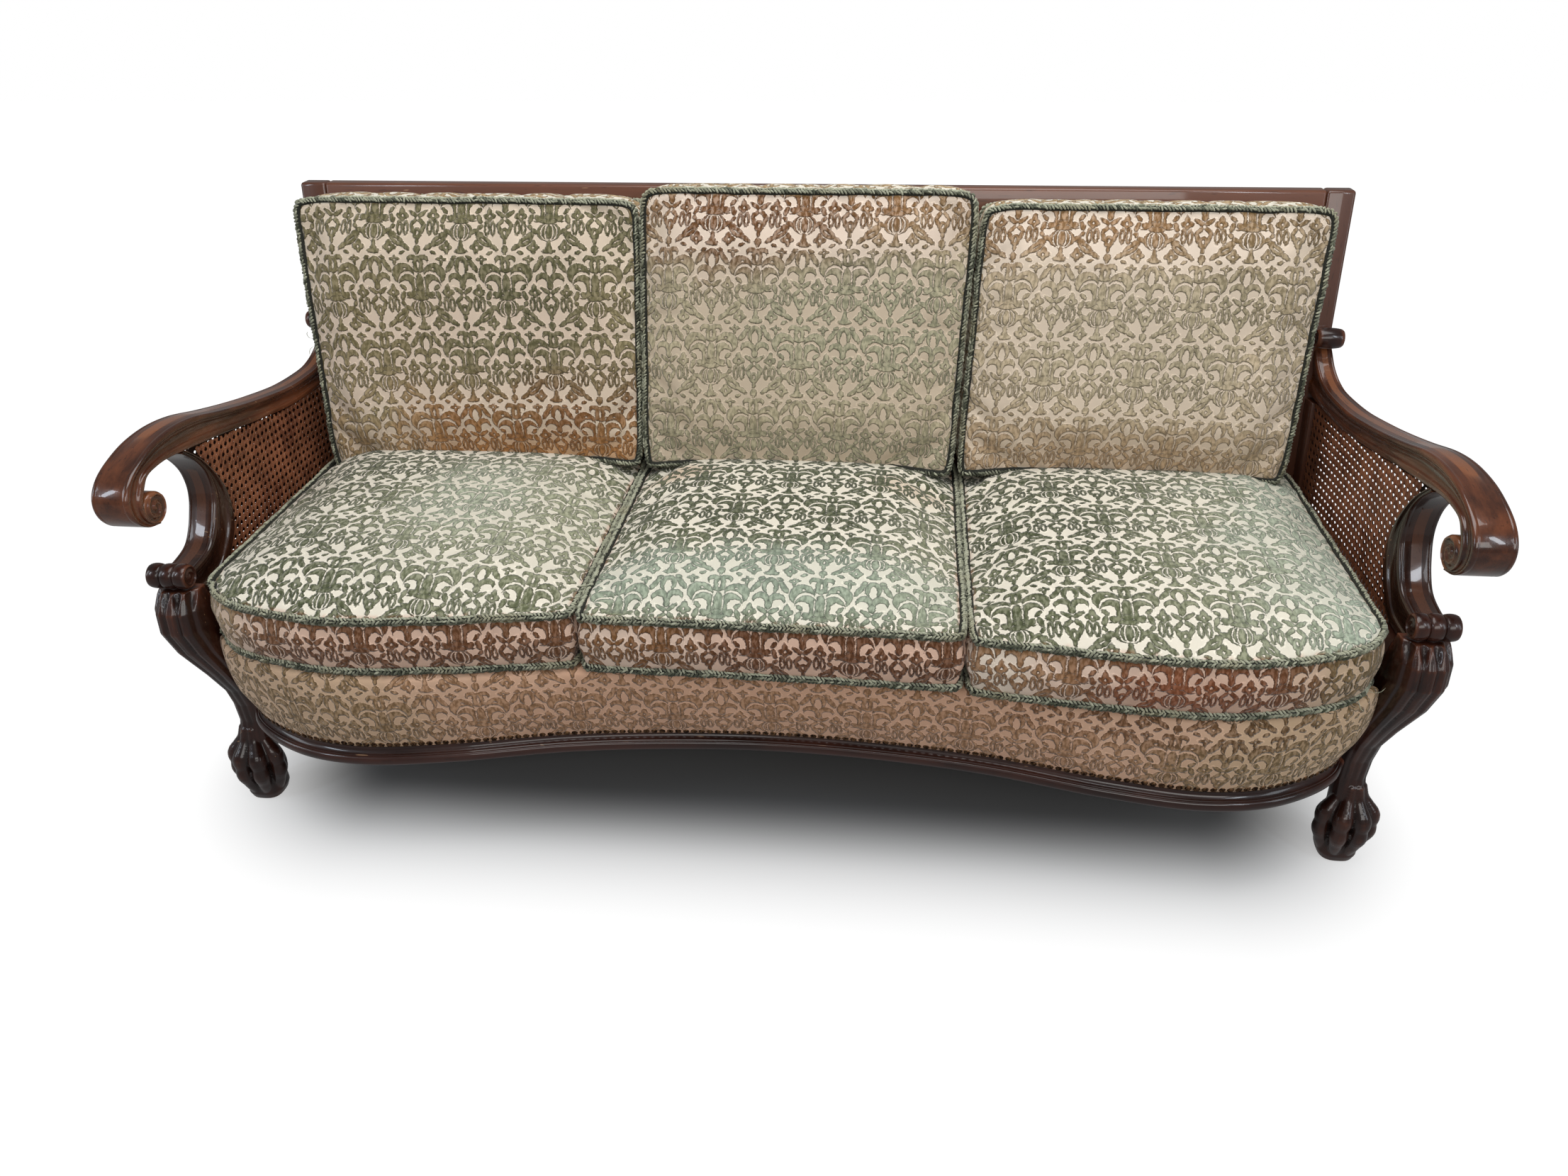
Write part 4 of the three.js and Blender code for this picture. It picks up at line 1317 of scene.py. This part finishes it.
def blown_up(piece, held, cap):
    """Cloth swells the cushion; held points stay, and no point moves further than cap."""
    before = coordinates(piece)
    group = piece.vertex_groups.new(name="held")
    for index in np.nonzero(held > 0)[0]:
        group.add([int(index)], float(held[index]), "REPLACE")
    activate(piece)
    bpy.ops.object.modifier_add(type="CLOTH")
    cloth = piece.modifiers[-1]
    cloth.settings.quality = 5
    cloth.settings.use_pressure = True
    cloth.settings.uniform_pressure_force = PRESSURE
    cloth.settings.effector_weights.gravity = 0
    cloth.settings.vertex_group_mass = "held"
    cloth.settings.shrink_min = -0.03
    cloth.settings.tension_stiffness = 12
    cloth.settings.compression_stiffness = 12
    cloth.settings.bending_stiffness = 1.5
    cloth.point_cache.frame_start = 1
    cloth.point_cache.frame_end = CLOTH_FRAMES
    for step in range(1, CLOTH_FRAMES + 1):
        scene.frame_set(step)
    bpy.ops.object.modifier_apply(modifier=cloth.name)
    scene.frame_set(1)
    moved = coordinates(piece) - before
    length = np.linalg.norm(moved, axis=1)
    move_to(piece, before + moved * np.minimum(1, cap / np.maximum(length, 1e-9))[:, None])
    piece.vertex_groups.clear()
    print("  swelled by up to", round(float(length.max()) * 1000, 1), "mm")


# %% Ruche trim
TUFT_PITCH = 5.4
TRIM_RADIUS = 4.6
# Half the thickness across, half the thickness outwards and half the length of a tuft.
TUFT_SIZE = (1.75, 2.7, 4.5)
# The slant of the tufts in each of the three rows, in degrees.
PLAIT = (38, -38, 38)


def resampled(line, pitch):
    """A closed line at even steps, with its directions."""
    closed = np.vstack([line, line[:1]])
    lengths = lengths_along(closed)
    count = int(lengths[-1] / pitch)
    places = np.arange(count) * lengths[-1] / count
    points = np.stack([np.interp(places, lengths, column) for column in closed.T], axis=-1)
    ahead = np.roll(points, -1, axis=0) - np.roll(points, 1, axis=0)
    return points, ahead / np.linalg.norm(ahead, axis=1)[:, None]


def ruche(name, lines, centre, seed):
    """Tufts in three plaited rows round a dark cord, along each seam of a cushion. The cord's dark colour
    is painted shade for the gaps between the tufts, and tufts that face up are painted lighter.
    """
    rng = np.random.default_rng(seed)
    template = small_sphere(5, 4)
    matrices, shades, gap_shade_rings = [], [], []
    for index, line in enumerate(lines):
        points, ahead = resampled(line, TUFT_PITCH * MM)
        away = points - centre
        away -= np.einsum("ij,ij->i", away, ahead)[:, None] * ahead
        away /= np.linalg.norm(away, axis=1)[:, None]
        sidewards = np.cross(ahead, away)
        wander = (ripple(points, seed + index, 12) * 1.2 * MM)[:, None]
        points = points + away * wander
        for row, turn in enumerate(np.radians((-62, 0, 62))):
            out = away * math.cos(turn) + sidewards * math.sin(turn)
            across = sidewards * math.cos(turn) - away * math.sin(turn)
            slant = np.radians(PLAIT[row]) + rng.normal(0, 0.3, len(points))
            long_way = ahead * np.cos(slant)[:, None] + across * np.sin(slant)[:, None]
            short_way = np.cross(out, long_way)
            size = rng.uniform(0.82, 1.18, len(points))[:, None] * MM
            reach = TRIM_RADIUS * MM * rng.uniform(0.86, 1.12, len(points))[:, None]
            spots = points + out * reach + ahead * (TUFT_PITCH * 0.33 * row * MM)
            stack = np.zeros((len(points), 4, 4))
            for axis, way in enumerate((short_way, out, long_way)):
                stack[:, :3, axis] = way * size * TUFT_SIZE[axis]
            stack[:, :3, 3] = spots
            stack[:, 3, 3] = 1
            matrices.append(stack)
            # Painted light: tufts that face up get a higher shade value and come out lighter.
            high = np.clip(out[:, 2] * 0.35 + 0.45, 0, 1)
            shades.append(np.clip(high + rng.normal(0, 0.22, len(points)), 0, 1))
        coarse, ring_away, ring_side = points[::2], away[::2], sidewards[::2]

        def place(u, v, coarse=coarse, ring_away=ring_away, ring_side=ring_side):
            row = np.round(v * len(coarse)).astype(int) % len(coarse)
            angle = 2 * np.pi * u[:, None]
            ring = ring_away[row] * np.cos(angle) + ring_side[row] * np.sin(angle)
            return coarse[row] + ring * TRIM_RADIUS * MM

        # The cord is dark as painted shade in the gaps between the tufts.
        gap_shade_rings.append(skin(f"{name}_cord_{index}", 7, len(coarse), place))
    tufts = repeated(name, template, np.concatenate(matrices), np.concatenate(shades))
    bpy.data.objects.remove(template)
    finished(tufts, ruche_trim, "ruche_trim")
    gap_shade_tube = joined(name + "_cord", gap_shade_rings)
    smooth(gap_shade_tube, 60)
    finished(gap_shade_tube, trim_core, "ruche_trim")


# %% Seat cushions
SEAT_BACK_EDGE = 240
SEAT_LOW_SEAM = 352
SEAT_CROWN = 30
SEAT_DEPTH = 600
SEATS = {
    "left": {"sides": (-832, -272), "shift": (0, 10)},
    "centre": {"sides": (-268, 268), "shift": (4, -4)},
    "right": {"sides": (272, 827), "shift": (-11.5, 0)},
}
SEAM_INSET = 4


def seat_panel(seat, level, crown):
    """A panel of a seat cushion, its corners rounded in plan."""

    def place(u, v):
        a, b = 2 * u - 1, 2 * v - 1
        left, right = seat["sides"]
        x = lerp(left + SEAM_INSET, right - SEAM_INSET, u)
        front = front_at(x) + lerp(*seat["shift"], u) + SEAM_INSET
        y = lerp(front, SEAT_BACK_EDGE - SEAM_INSET, v)
        corner = (np.abs(a) * np.abs(b)) ** 14
        x = x - np.sign(a) * corner * 5
        y = y - np.sign(b) * corner * 6
        z = level + crown * (1 - a ** 4) * (1 - np.abs(b) ** 3)
        return np.column_stack([x, y, z]) * MM

    return place


def outward(a, b, amount):
    """The way out of a panel's edge in plan, longest in the middle of a side."""
    x = np.where(a <= 0, -1.0, np.where(a >= 1, 1.0, 0.0))
    y = np.where(b <= 0, -1.0, np.where(b >= 1, 1.0, 0.0))
    length = np.maximum(np.hypot(x, y), 1)
    return np.column_stack([x / length, y / length, 0 * x]) * amount * MM


SEAT_PAINT = {
    "left": ([(DEEP_GREEN, (0.15, 0.85), (0.6, 0.34), 0.8), (DEEP_GREEN, (0.2, 0.1), (0.4, 0.22), 0.6),
              (SAGE, (0.74, 0.42), (0.34, 0.3), 0.8), (MINT, (0.6, 0.5), (0.14, 0.2), 0.3)],
             [(SAGE, (0.7, 0.45), (0.34, 0.3), 0.2)], 0.35),
    "centre": ([(DEEP_GREEN, (0.5, 0.66), (0.7, 0.46), 0.9), (MINT, (0.5, 0.14), (0.8, 0.12), 0.5),
                (SAGE, (0.95, 0.3), (0.16, 0.3), 0.4)],
               [(MINT, (0.5, 0.14), (0.7, 0.1), 0.25), (HONEY, (0.13, 0.72), (0.1, 0.05), 0.45),
                (HONEY, (0.85, 0.66), (0.12, 0.06), 0.3)], 0.2),
    "right": ([(DEEP_GREEN, (0.15, 0.66), (0.4, 0.5), 0.85), (MINT, (1.02, 0.4), (0.3, 0.8), 0.75),
               (SAGE, (0.66, 0.3), (0.24, 0.4), 0.4)],
              [(MINT, (1.02, 0.4), (0.3, 0.8), 0.35), (CREAM, (0.4, 0.05), (0.5, 0.12), 0.4)], 0.3),
}
BAND_PILE = paint(120, 82, 52)
BOXING_PAINT = {
    "left": ([(BROWN, (0.6, 0.3), (0.45, 0.8), 0.7), (STRAW, (0.02, 0.5), (0.12, 1), 0.6)],
             [(ROSE, (0.6, 0.4), (0.45, 1), 0.7), (STRAW, (0.0, 0.5), (0.14, 1), 0.3)]),
    "centre": ([(BROWN, (0.75, 0.5), (0.5, 1), 0.9), (GOLD, (0.15, 0.5), (0.16, 0.8), 0.4)],
               [(ROSE, (0.75, 0.5), (0.5, 1), 0.8), (BLUSH, (0.1, 0.5), (0.2, 1), 0.6)]),
    "right": ([(RUST, (0.55, 0.4), (0.26, 0.7), 0.8), (BROWN, (0.8, 0.5), (0.25, 1), 0.6),
               (TAN, (0.12, 0.5), (0.14, 1), 0.5), (OLIVE, (1.02, 0.5), (0.22, 1), 0.7)],
              [(RUST, (0.52, 0.3), (0.17, 0.5), 0.55), (ROSE, (0.7, 0.5), (0.4, 1), 0.6),
               (CREAM, (0.06, 0.5), (0.08, 0.8), 0.5), (STRAW, (1.02, 0.5), (0.25, 1), 0.6)]),
}


def seat_cushion(name, seat, seed):
    top = seat_panel(seat, WELT_HEIGHT, SEAT_CROWN)
    bottom = seat_panel(seat, SEAT_LOW_SEAM, 0)
    middle = sum(seat["sides"]) / 2
    width = seat["sides"][1] - seat["sides"][0]

    def cloth_top(u, v):
        points = top(u, v)
        return np.column_stack([points[:, 0] - middle * MM, points[:, 1] * 1.02 - 0.02])

    def cloth_band(u, v):
        run = u * 2 * (width + SEAT_DEPTH) * MM
        return np.column_stack([run - width / 2 * MM, v * 0.084 - 0.026])

    cushion = boxed(f"boxed_seat_{name}", top, bottom, cloth_top, cloth_band, lambda a, b: outward(a, b, 6))
    points = coordinates(cushion)
    held = on_seam(points, seam_line(top))
    held[points[:, 2] < (SEAT_LOW_SEAM + 0.5) * MM] = 1.0
    blown_up(cushion, held, 20 * MM)
    apply_modifier(cushion, "SUBSURF", levels=1, render_levels=1)
    points = coordinates(cushion)
    flat_floor = points[:, 2] < (SEAT_LOW_SEAM + 0.2) * MM
    left, right = seat["sides"]
    across = (points[:, 0] / MM - left) / (right - left)
    front = front_at(points[:, 0] / MM)
    through = (points[:, 1] / MM - front) / (SEAT_BACK_EDGE - front)
    rise = (points[:, 2] / MM - SEAT_LOW_SEAM) / (WELT_HEIGHT - SEAT_LOW_SEAM)
    upper = on_face(cushion)
    points[flat_floor, 2] -= 4 * MM
    move_to(cushion, points)
    smooth(cushion, 60)
    pile, ground, worn = SEAT_PAINT[name]
    side_pile, side_ground = BOXING_PAINT[name]
    fade_and_sheen(cushion, across, through, seed, [(upper, GREEN, pile, CREAM, ground, worn),
                                          (1 - upper, BAND_PILE, [], BLUSH, [], 0.3)])
    repaint_band(cushion, across, rise, upper, seed, side_pile, side_ground)
    finished(cushion, cut_velvet, "cut_velvet", f"seat_cushion_{name}")
    ruche(f"seat_ruche_{name}", [seam_line(top), seam_line(bottom)],
          np.array([middle, -60, 395]) * MM, seed + 40)


def repaint_band(piece, across, rise, upper, seed, pile_layers, ground_layers):
    """The band has stains of its own, laid out along the front and up it."""
    points = coordinates(piece)
    rough = ripple(points, seed + 7, 12)
    share = (1 - upper)[:, None]
    for name, base, layers in (("pile", BAND_PILE, pile_layers), ("ground", BLUSH, ground_layers)):
        layer = piece.data.attributes[name]
        colours = np.empty(len(points) * 4)
        layer.data.foreach_get("color", colours)
        colours = colours.reshape(-1, 4)
        fresh = painted(base, layers, across, rise, rough)
        colours = colours * (1 - share) + fresh * share
        layer.data.foreach_set("color", colours.ravel())


for number, (name, seat) in enumerate(SEATS.items()):
    seat_cushion(name, seat, 11 + number)

# %% Back cushions
LEAN = math.radians(9.8)
BACK_FOOT = (137, 465)
BACK_THICKNESS = (124, 102)
BACKS = {
    "left": {"bottom": (-814, -266), "top": (-828, -257), "height": 424, "ahead": 0, "sag": 22},
    "centre": {"bottom": (-260, 256), "top": (-251, 275), "height": 443, "ahead": 6, "sag": 0},
    "right": {"bottom": (266, 790), "top": (283, 812), "height": 422, "ahead": 0, "sag": 0},
}
# For each cushion: pile, patches of the pile, ground, patches of the ground, and wear.
BACK_PAINT = {
    "left": (
        paint(124, 114, 82),
        [(DEEP_GREEN, (0.62, 0.86), (0.5, 0.24), 0.5), (DEEP_GREEN, (0.6, 0.5), (0.2, 0.2), 0.4),
         (OLIVE, (0.12, 0.45), (0.25, 0.4), 0.5), (paint(160, 108, 60), (0.7, 0.06), (0.6, 0.2), 0.9),
         (BROWN, (0.8, 0.22), (0.3, 0.14), 0.45), (STRAW, (0.12, 0.1), (0.2, 0.25), 0.4)],
        LINEN,
        [(HONEY, (0.75, -0.04), (0.5, 0.14), 0.8), (BLUSH, (0.5, 0.4), (0.6, 0.3), 0.4)],
        0.3),
    "centre": (
        paint(162, 152, 124),
        [(GOLD, (0.4, 1.0), (0.75, 0.24), 0.95), (BROWN, (0.35, 0.86), (0.4, 0.14), 0.7),
         (SAGE, (0.7, 0.55), (0.34, 0.24), 0.6), (SAGE, (0.5, 0.06), (0.5, 0.1), 0.5)],
        paint(206, 188, 164),
        [(paint(232, 212, 194), (0.4, 1.0), (0.8, 0.26), 0.9)],
        0.6),
    "right": (
        paint(176, 158, 130),
        [(GOLD, (0.4, 0.96), (0.6, 0.16), 0.85), (OLIVE, (0.85, 0.75), (0.2, 0.3), 0.45),
         (TAN, (0.4, 0.02), (0.6, 0.2), 0.6), (SAGE, (0.5, 0.5), (0.4, 0.3), 0.3)],
        paint(220, 202, 180),
        [(paint(236, 218, 200), (0.4, 0.96), (0.6, 0.16), 0.7), (TAN, (0.5, 0.0), (0.6, 0.16), 0.35)],
        0.5),
}


def back_panel(cushion, rear, crown):
    """A panel of a back cushion: u goes across and v up it."""

    def place(u, v):
        a, b = 2 * u - 1, 2 * v - 1
        corner = (np.abs(a) * np.abs(b)) ** 14
        across = u - np.sign(a) * corner * 0.013
        up = v - np.sign(b) * corner * 0.015
        foot = lerp(cushion["bottom"][0] + SEAM_INSET, cushion["bottom"][1] - SEAM_INSET, across)
        head = lerp(cushion["top"][0] + SEAM_INSET, cushion["top"][1] - SEAM_INSET, across)
        x = lerp(foot, head, up)
        depth = lerp(*BACK_THICKNESS, up) - 5 if rear else 0 * up
        depth = depth - crown * (1 - a ** 4) * (1 - b ** 4)
        reach = 5 + up * (cushion["height"] - 12) - (0 if rear else 1) * 14 * a ** 4 * (1 - up)
        reach = reach - cushion["sag"] * (1 - across) ** 1.5 * (1 - up)
        y = BACK_FOOT[0] - cushion["ahead"] + reach * math.sin(LEAN) + depth * math.cos(LEAN)
        z = BACK_FOOT[1] + reach * math.cos(LEAN) - depth * math.sin(LEAN)
        return np.column_stack([x, y, z]) * MM

    return place


def leaning_outward(a, b, amount):
    """The way out of a back panel's edge, in the leaning plane of the cushion."""
    x = np.where(a <= 0, -1.0, np.where(a >= 1, 1.0, 0.0))
    up = np.where(b <= 0, -0.3, np.where(b >= 1, 1.0, 0.0))
    length = np.maximum(np.hypot(x, up), 1)
    x, up = x / length, up / length
    return np.column_stack([x, up * math.sin(LEAN), up * math.cos(LEAN)]) * amount * MM


def back_cushion(name, cushion, seed):
    front = back_panel(cushion, False, 8)
    rear = back_panel(cushion, True, 0)
    width = cushion["bottom"][1] - cushion["bottom"][0]
    height = cushion["height"]

    def cloth_front(u, v):
        return np.column_stack([(u - 0.5) * width * MM, (v - 0.9) * height * MM + 0.004])

    def cloth_band(u, v):
        return np.column_stack([u * 2 * (width + height) * MM, v * 0.105])

    piece = boxed(f"boxed_back_{name}", front, rear, cloth_front, cloth_band,
                  lambda a, b: leaning_outward(a, b, 5))
    points = coordinates(piece)
    lines = [seam_line(front), seam_line(rear)]
    held = on_seam(points, np.vstack(lines))
    ahead = np.array([0, math.cos(LEAN), -math.sin(LEAN)])
    foot = np.array([0, BACK_FOOT[0] - cushion["ahead"], BACK_FOOT[1]]) * MM
    depth = (points - foot) @ ahead
    held[depth > 0.09] = 1.0
    blown_up(piece, held, 22 * MM)
    apply_modifier(piece, "SUBSURF", levels=1, render_levels=1)
    smooth(piece, 60)
    points = coordinates(piece)
    reach = (points - foot) @ np.array([0, math.sin(LEAN), math.cos(LEAN)])
    up = reach / (height * MM)
    left = lerp(cushion["bottom"][0], cushion["top"][0], up)
    right = lerp(cushion["bottom"][1], cushion["top"][1], up)
    across = (points[:, 0] / MM - left) / (right - left)
    face = on_face(piece)
    pile, pile_layers, ground, ground_layers, worn = BACK_PAINT[name]
    fade_and_sheen(piece, across, up, seed, [(face, pile, pile_layers, ground, ground_layers, worn),
                                   (1 - face, paint(158, 128, 84), [], CREAM, [], 0.4)])
    finished(piece, cut_velvet, "cut_velvet", f"back_cushion_{name}")
    centre = np.mean(points, axis=0)
    ruche(f"back_ruche_{name}", lines, centre, seed + 60)


for number, (name, cushion) in enumerate(BACKS.items()):
    back_cushion(name, cushion, 31 + number)

# %% [markdown]
# ## Loose threads
# The trim frays where it has been rubbed and pulled. A few single threads hang out of it.

# %% Loose threads
THREAD_RADIUS = 0.5
# The trim a thread hangs from, where on it in metres, and its run from there in millimetres.
THREADS = [
    ("seat_ruche_right", (0.81, -0.3, 0.352), [(0, 0, 0), (7, -5, 1), (13, -8, 5), (17, -9, 12)]),
    ("seat_ruche_right", (0.79, -0.31, 0.352), [(0, 0, 0), (2, -6, -4), (5, -9, -11), (10, -10, -15)]),
    ("back_ruche_left", (-0.83, 0.17, 0.655), [(0, 0, 0), (-4, -4, 3), (-6, -5, 9), (-3, -6, 14)]),
    ("back_ruche_left", (-0.83, 0.17, 0.645), [(0, 0, 0), (-5, -3, -2), (-9, -4, -7), (-10, -5, -14)]),
    ("back_ruche_centre", (0.27, 0.15, 0.6), [(0, 0, 0), (4, -6, 2), (9, -8, -3), (11, -8, -10)]),
]


def loose_thread(number, trim, near, run):
    """A pulled thread that starts on the nearest tuft of the trim."""
    tufts = coordinates(bpy.data.objects[trim])
    start = tufts[np.argmin(np.linalg.norm(tufts - np.array(near), axis=1))]
    rows = 14
    spine = start + natural(run, np.linspace(0, 1, rows + 1)) * MM

    def place(u, v):
        row = np.round(v * rows).astype(int)
        angle = 2 * np.pi * u
        radius = THREAD_RADIUS * np.clip((1.02 - v) * 6, 0, 1) * MM
        flat = np.column_stack([np.cos(angle) * radius, np.sin(angle) * radius, 0 * u])
        return spine[row] + flat

    thread = skin(f"loose_thread_{number}", 6, rows, place)
    store(thread, "shade", np.full(len(thread.data.vertices), 1.0))
    smooth(thread, 60)
    finished(thread, ruche_trim, "ruche_trim")


for thread_number, (trim_name, near_point, thread_run) in enumerate(THREADS):
    loose_thread(thread_number, trim_name, near_point, thread_run)

# %% [markdown]
# ## Cane panels
# Cane is woven in six steps: pairs of strands up and down, pairs across, and one strand each way
# on the slant. Every strand is a flat ribbon, cut to length where it meets the edge of the panel.
# The strands of the inner panels go over and under each other; the others are laid in layers.

# %% Cane weaving
CANE_PITCH = 13.0
STRAND_GAP = 2.8
STRAND_WIDTH, SLANT_WIDTH = 2.4, 2.8
HALF_THICKNESS = 0.32
SHORTEST_STRAND = 3
ARM_CANE = [
    (-172, 366), (0, 366), (120, 366), (post_front(365) - 27, 366), (post_front(551) - 27.5, 551),
    (210, 550),
    (141, 549), (72, 556), (8, 566), (-62, 579), (-112, 587), (-152, 593), (-140, 567), (-115, 533),
    (-103, 504), (-101, 477), (-109, 446), (-129, 418), (-150, 400), (-172, 387),
]


def inside_spans(outline, origin, direction):
    """Where a straight line is inside an outline: pairs of distances along it."""
    outline = np.asarray(outline, dtype=float)
    first, second = outline, np.roll(outline, -1, axis=0)
    normal = np.array([-direction[1], direction[0]])
    side_one, side_two = (first - origin) @ normal, (second - origin) @ normal
    crosses = (side_one > 0) != (side_two > 0)
    share = side_one[crosses] / (side_one[crosses] - side_two[crosses])
    hits = first[crosses] + (second[crosses] - first[crosses]) * share[:, None]
    places = np.sort((hits - origin) @ direction)
    return list(zip(places[::2], places[1::2]))


def weave(name, outline, to_space, woven, steps, start_shift=0.0, broad=1.0):
    """Ribbons of cane over an outline in the plane of the panel, in millimetres."""
    outline = np.asarray(outline, dtype=float)
    low, high = outline.min(axis=0) - start_shift, outline.max(axis=0)
    reach = float(np.linalg.norm(high - low))
    corners, faces, shades = [], [], []
    rng = np.random.default_rng(5)
    # Each run is (direction, shift sideways, height over the middle of the panel).
    runs = [(90, -STRAND_GAP / 2, 0.3), (90, STRAND_GAP / 2, 0.3), (0, -STRAND_GAP / 2, -0.3),
            (0, STRAND_GAP / 2, -0.3), (45, 0, 0.7), (-45, 0, -0.7)]
    for angle, shift, layer in runs:
        direction = np.array([math.cos(math.radians(angle)), math.sin(math.radians(angle))])
        normal = np.array([-direction[1], direction[0]])
        pitch = CANE_PITCH if angle in (0, 90) else CANE_PITCH / math.sqrt(2)
        width = (STRAND_WIDTH if angle in (0, 90) else SLANT_WIDTH) * broad
        section = ((-width / 2, 0), (0, HALF_THICKNESS), (width / 2, 0), (0, -HALF_THICKNESS))
        for number in range(int(reach / pitch) * 2):
            offset = (number - int(reach / pitch)) * pitch + shift + (0 if angle in (0, 90) else pitch / 2)
            start = low + normal * offset
            for begin, end in inside_spans(outline, start, direction):
                if end - begin < SHORTEST_STRAND:
                    continue
                count = max(2, int((end - begin) / steps) + 1)
                run = np.linspace(begin, end, count)
                middle = start + np.outer(run, direction)
                wave = np.zeros(count)
                if woven and angle in (0, 90):
                    phase = np.pi * (middle @ np.abs(direction)) / CANE_PITCH
                    wave = 0.35 * np.sin(phase + np.pi * number)
                height = layer + wave
                shade = rng.uniform(0, 1)
                base = len(corners)
                for spot, lift in zip(middle, height):
                    for across, up in section:
                        corners.append((*(spot + normal * across), lift + up))
                        shades.append(shade)
                for step in range(count - 1):
                    ring = base + 4 * step
                    for corner in range(4):
                        after = (corner + 1) % 4
                        faces.append((ring + corner, ring + after, ring + 4 + after, ring + 4 + corner))
                faces.append((base + 3, base + 2, base + 1, base))
                last = base + 4 * (count - 1)
                faces.append((last, last + 1, last + 2, last + 3))
    mesh = bpy.data.meshes.new(name)
    mesh.from_pydata(to_space(np.array(corners)) * MM, [], faces)
    mesh.validate()
    piece = bpy.data.objects.new(name, mesh)
    scene.collection.objects.link(piece)
    store(piece, "shade", shades)
    close_up(piece, merge=0.001 * MM, fill=False)
    smooth(piece, 50)
    return piece


def arm_plane(x, towards):
    """Arm panels stand across the sofa and follow the bend of the side frame."""
    return lambda p: np.column_stack([x + towards * p[:, 2] + bend(p[:, 0]), p[:, 0], p[:, 1]])


inner_cane = weave("woven_cane_inner_right", ARM_CANE, arm_plane(872.7, -1), True, CANE_PITCH / 2)
outer_cane = weave("woven_cane_outer_right", ARM_CANE, arm_plane(887.7, 1), False, 40, 4.5, 1.72)
both_sides(inner_cane, stained_cane, "cane", "arm_cane_inner")
# The outer panels take the cane that is painted darker as painted shade.
both_sides(outer_cane, shaded_cane, "cane", "arm_cane_outer")


# %% Back cane
def back_plane(p):
    """Back panels lean with the posts."""
    return np.column_stack([p[:, 0], post_front(p[:, 1]) + 13 + p[:, 2], p[:, 1]])


for node in ("back_cane_left", "back_cane_centre", "back_cane_right"):
    low, high = (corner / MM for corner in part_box(node))
    sheet = [(low.x, low.z), (high.x, low.z), (high.x, high.z), (low.x, high.z)]
    finished(weave("woven_" + node, sheet, back_plane, False, 200), stained_cane, "cane", node)

# %% [markdown]
# ## The dust cloth
# Black cotton is tacked under the seat. It is stretched, but years have let it sag a little between
# the rails.

# %% Dust cloth
def bottom_cloth():
    """A cloth the shape of the seat frame, under the rails."""
    edge = [(-868, 213), (-868, -165), (-832, -165)]
    count = 60
    steps = np.linspace(0.03, 0.97, count)
    rim = on_front(steps, np.full(count, 22.0), np.full(count, 196.0), False) / MM
    edge += [(x, y) for x, y, _ in rim] + [(832, -165), (868, -165), (868, 213), (822, 213), (822, 276)]
    edge += [(-822, 276), (-822, 213)]
    edge = np.array(edge)

    def place(u, v):
        x = lerp(edge[:, 0].min(), edge[:, 0].max(), u)
        low, high = np.empty_like(x), np.empty_like(x)
        for index, value in enumerate(x):
            start = np.array([np.clip(value, -867.5, 867.5), -600.0])
            spans = inside_spans(edge, start, np.array([0.0, 1.0]))
            low[index], high[index] = spans[0][0] - 600, spans[-1][1] - 600
        y = lerp(low, high, v)
        sag = 1.6 * np.sin(np.pi * u) * np.sin(np.pi * v) + 0.5 * np.sin(17 * u + 9 * v) * np.sin(np.pi * v)
        return np.column_stack([x, y, 192.0 - sag]) * MM

    cloth = skin("tacked_dust_cloth", 120, 40, place, closed=False)
    apply_modifier(cloth, "SOLIDIFY", thickness=0.7 * MM, offset=0)
    close_up(cloth, fill=False)
    smooth(cloth, 40)
    area = sum(face.area for face in cloth.data.polygons) / 2
    print("dust cloth area:", round(area, 3))
    finished(cloth, dust_cloth, "dust_cloth", "bottom_cloth")


bottom_cloth()


# %% [markdown]
# ## Floor
# A wide pale floor takes the sofa's shadow. Its colour is also painted darker near the sofa as a
# painted shadow, and further out it glows plain white, a painted light that also lights the sofa a little.

# %% Floor
def floor():
    """White paper, painted darker near the sofa as a painted shadow, that glows plain white further out."""
    finish = Finish("white_floor")
    off_middle = finish.vector("SUBTRACT", finish.vector("ABSOLUTE", finish.place()), (0.66, 0.12, 0))
    spread = finish.vector("MAXIMUM", off_middle, (0, 0, 0))
    # 0 close to the sofa and 1 further out: from painted shadow to painted glow.
    shadow_to_glow = finish.ease(finish.vector("LENGTH", spread, output="Value"), 0.04, 0.4)
    seen = finish.node("LightPath", output="Is Camera Ray")
    # Painted shadow: the floor's colour is darker close to the sofa.
    colour = finish.mix(finish.ease(shadow_to_glow, 0.0, 0.5), paint(112, 112, 112), paint(196, 196, 196))
    colour = finish.mix(shadow_to_glow, colour, (0, 0, 0, 1))
    # Painted light: the floor glows white further out, fully for the camera and at 0.3 for light that falls
    # on the sofa.
    glow = finish.mix(shadow_to_glow * (seen * 0.7 + 0.3), (0, 0, 0, 1), (1.05, 1.05, 1.05, 1))
    material = finish.surface(colour, 1.0, Specular_IOR_Level=0.0, Emission_Color=glow,
                              Emission_Strength=1.0)
    deselect_all()
    bpy.ops.mesh.primitive_plane_add(size=16, location=(0, 0, -0.0005))
    ground = bpy.context.object
    ground.name = "white_floor"
    ground.data.materials.append(material)


floor()
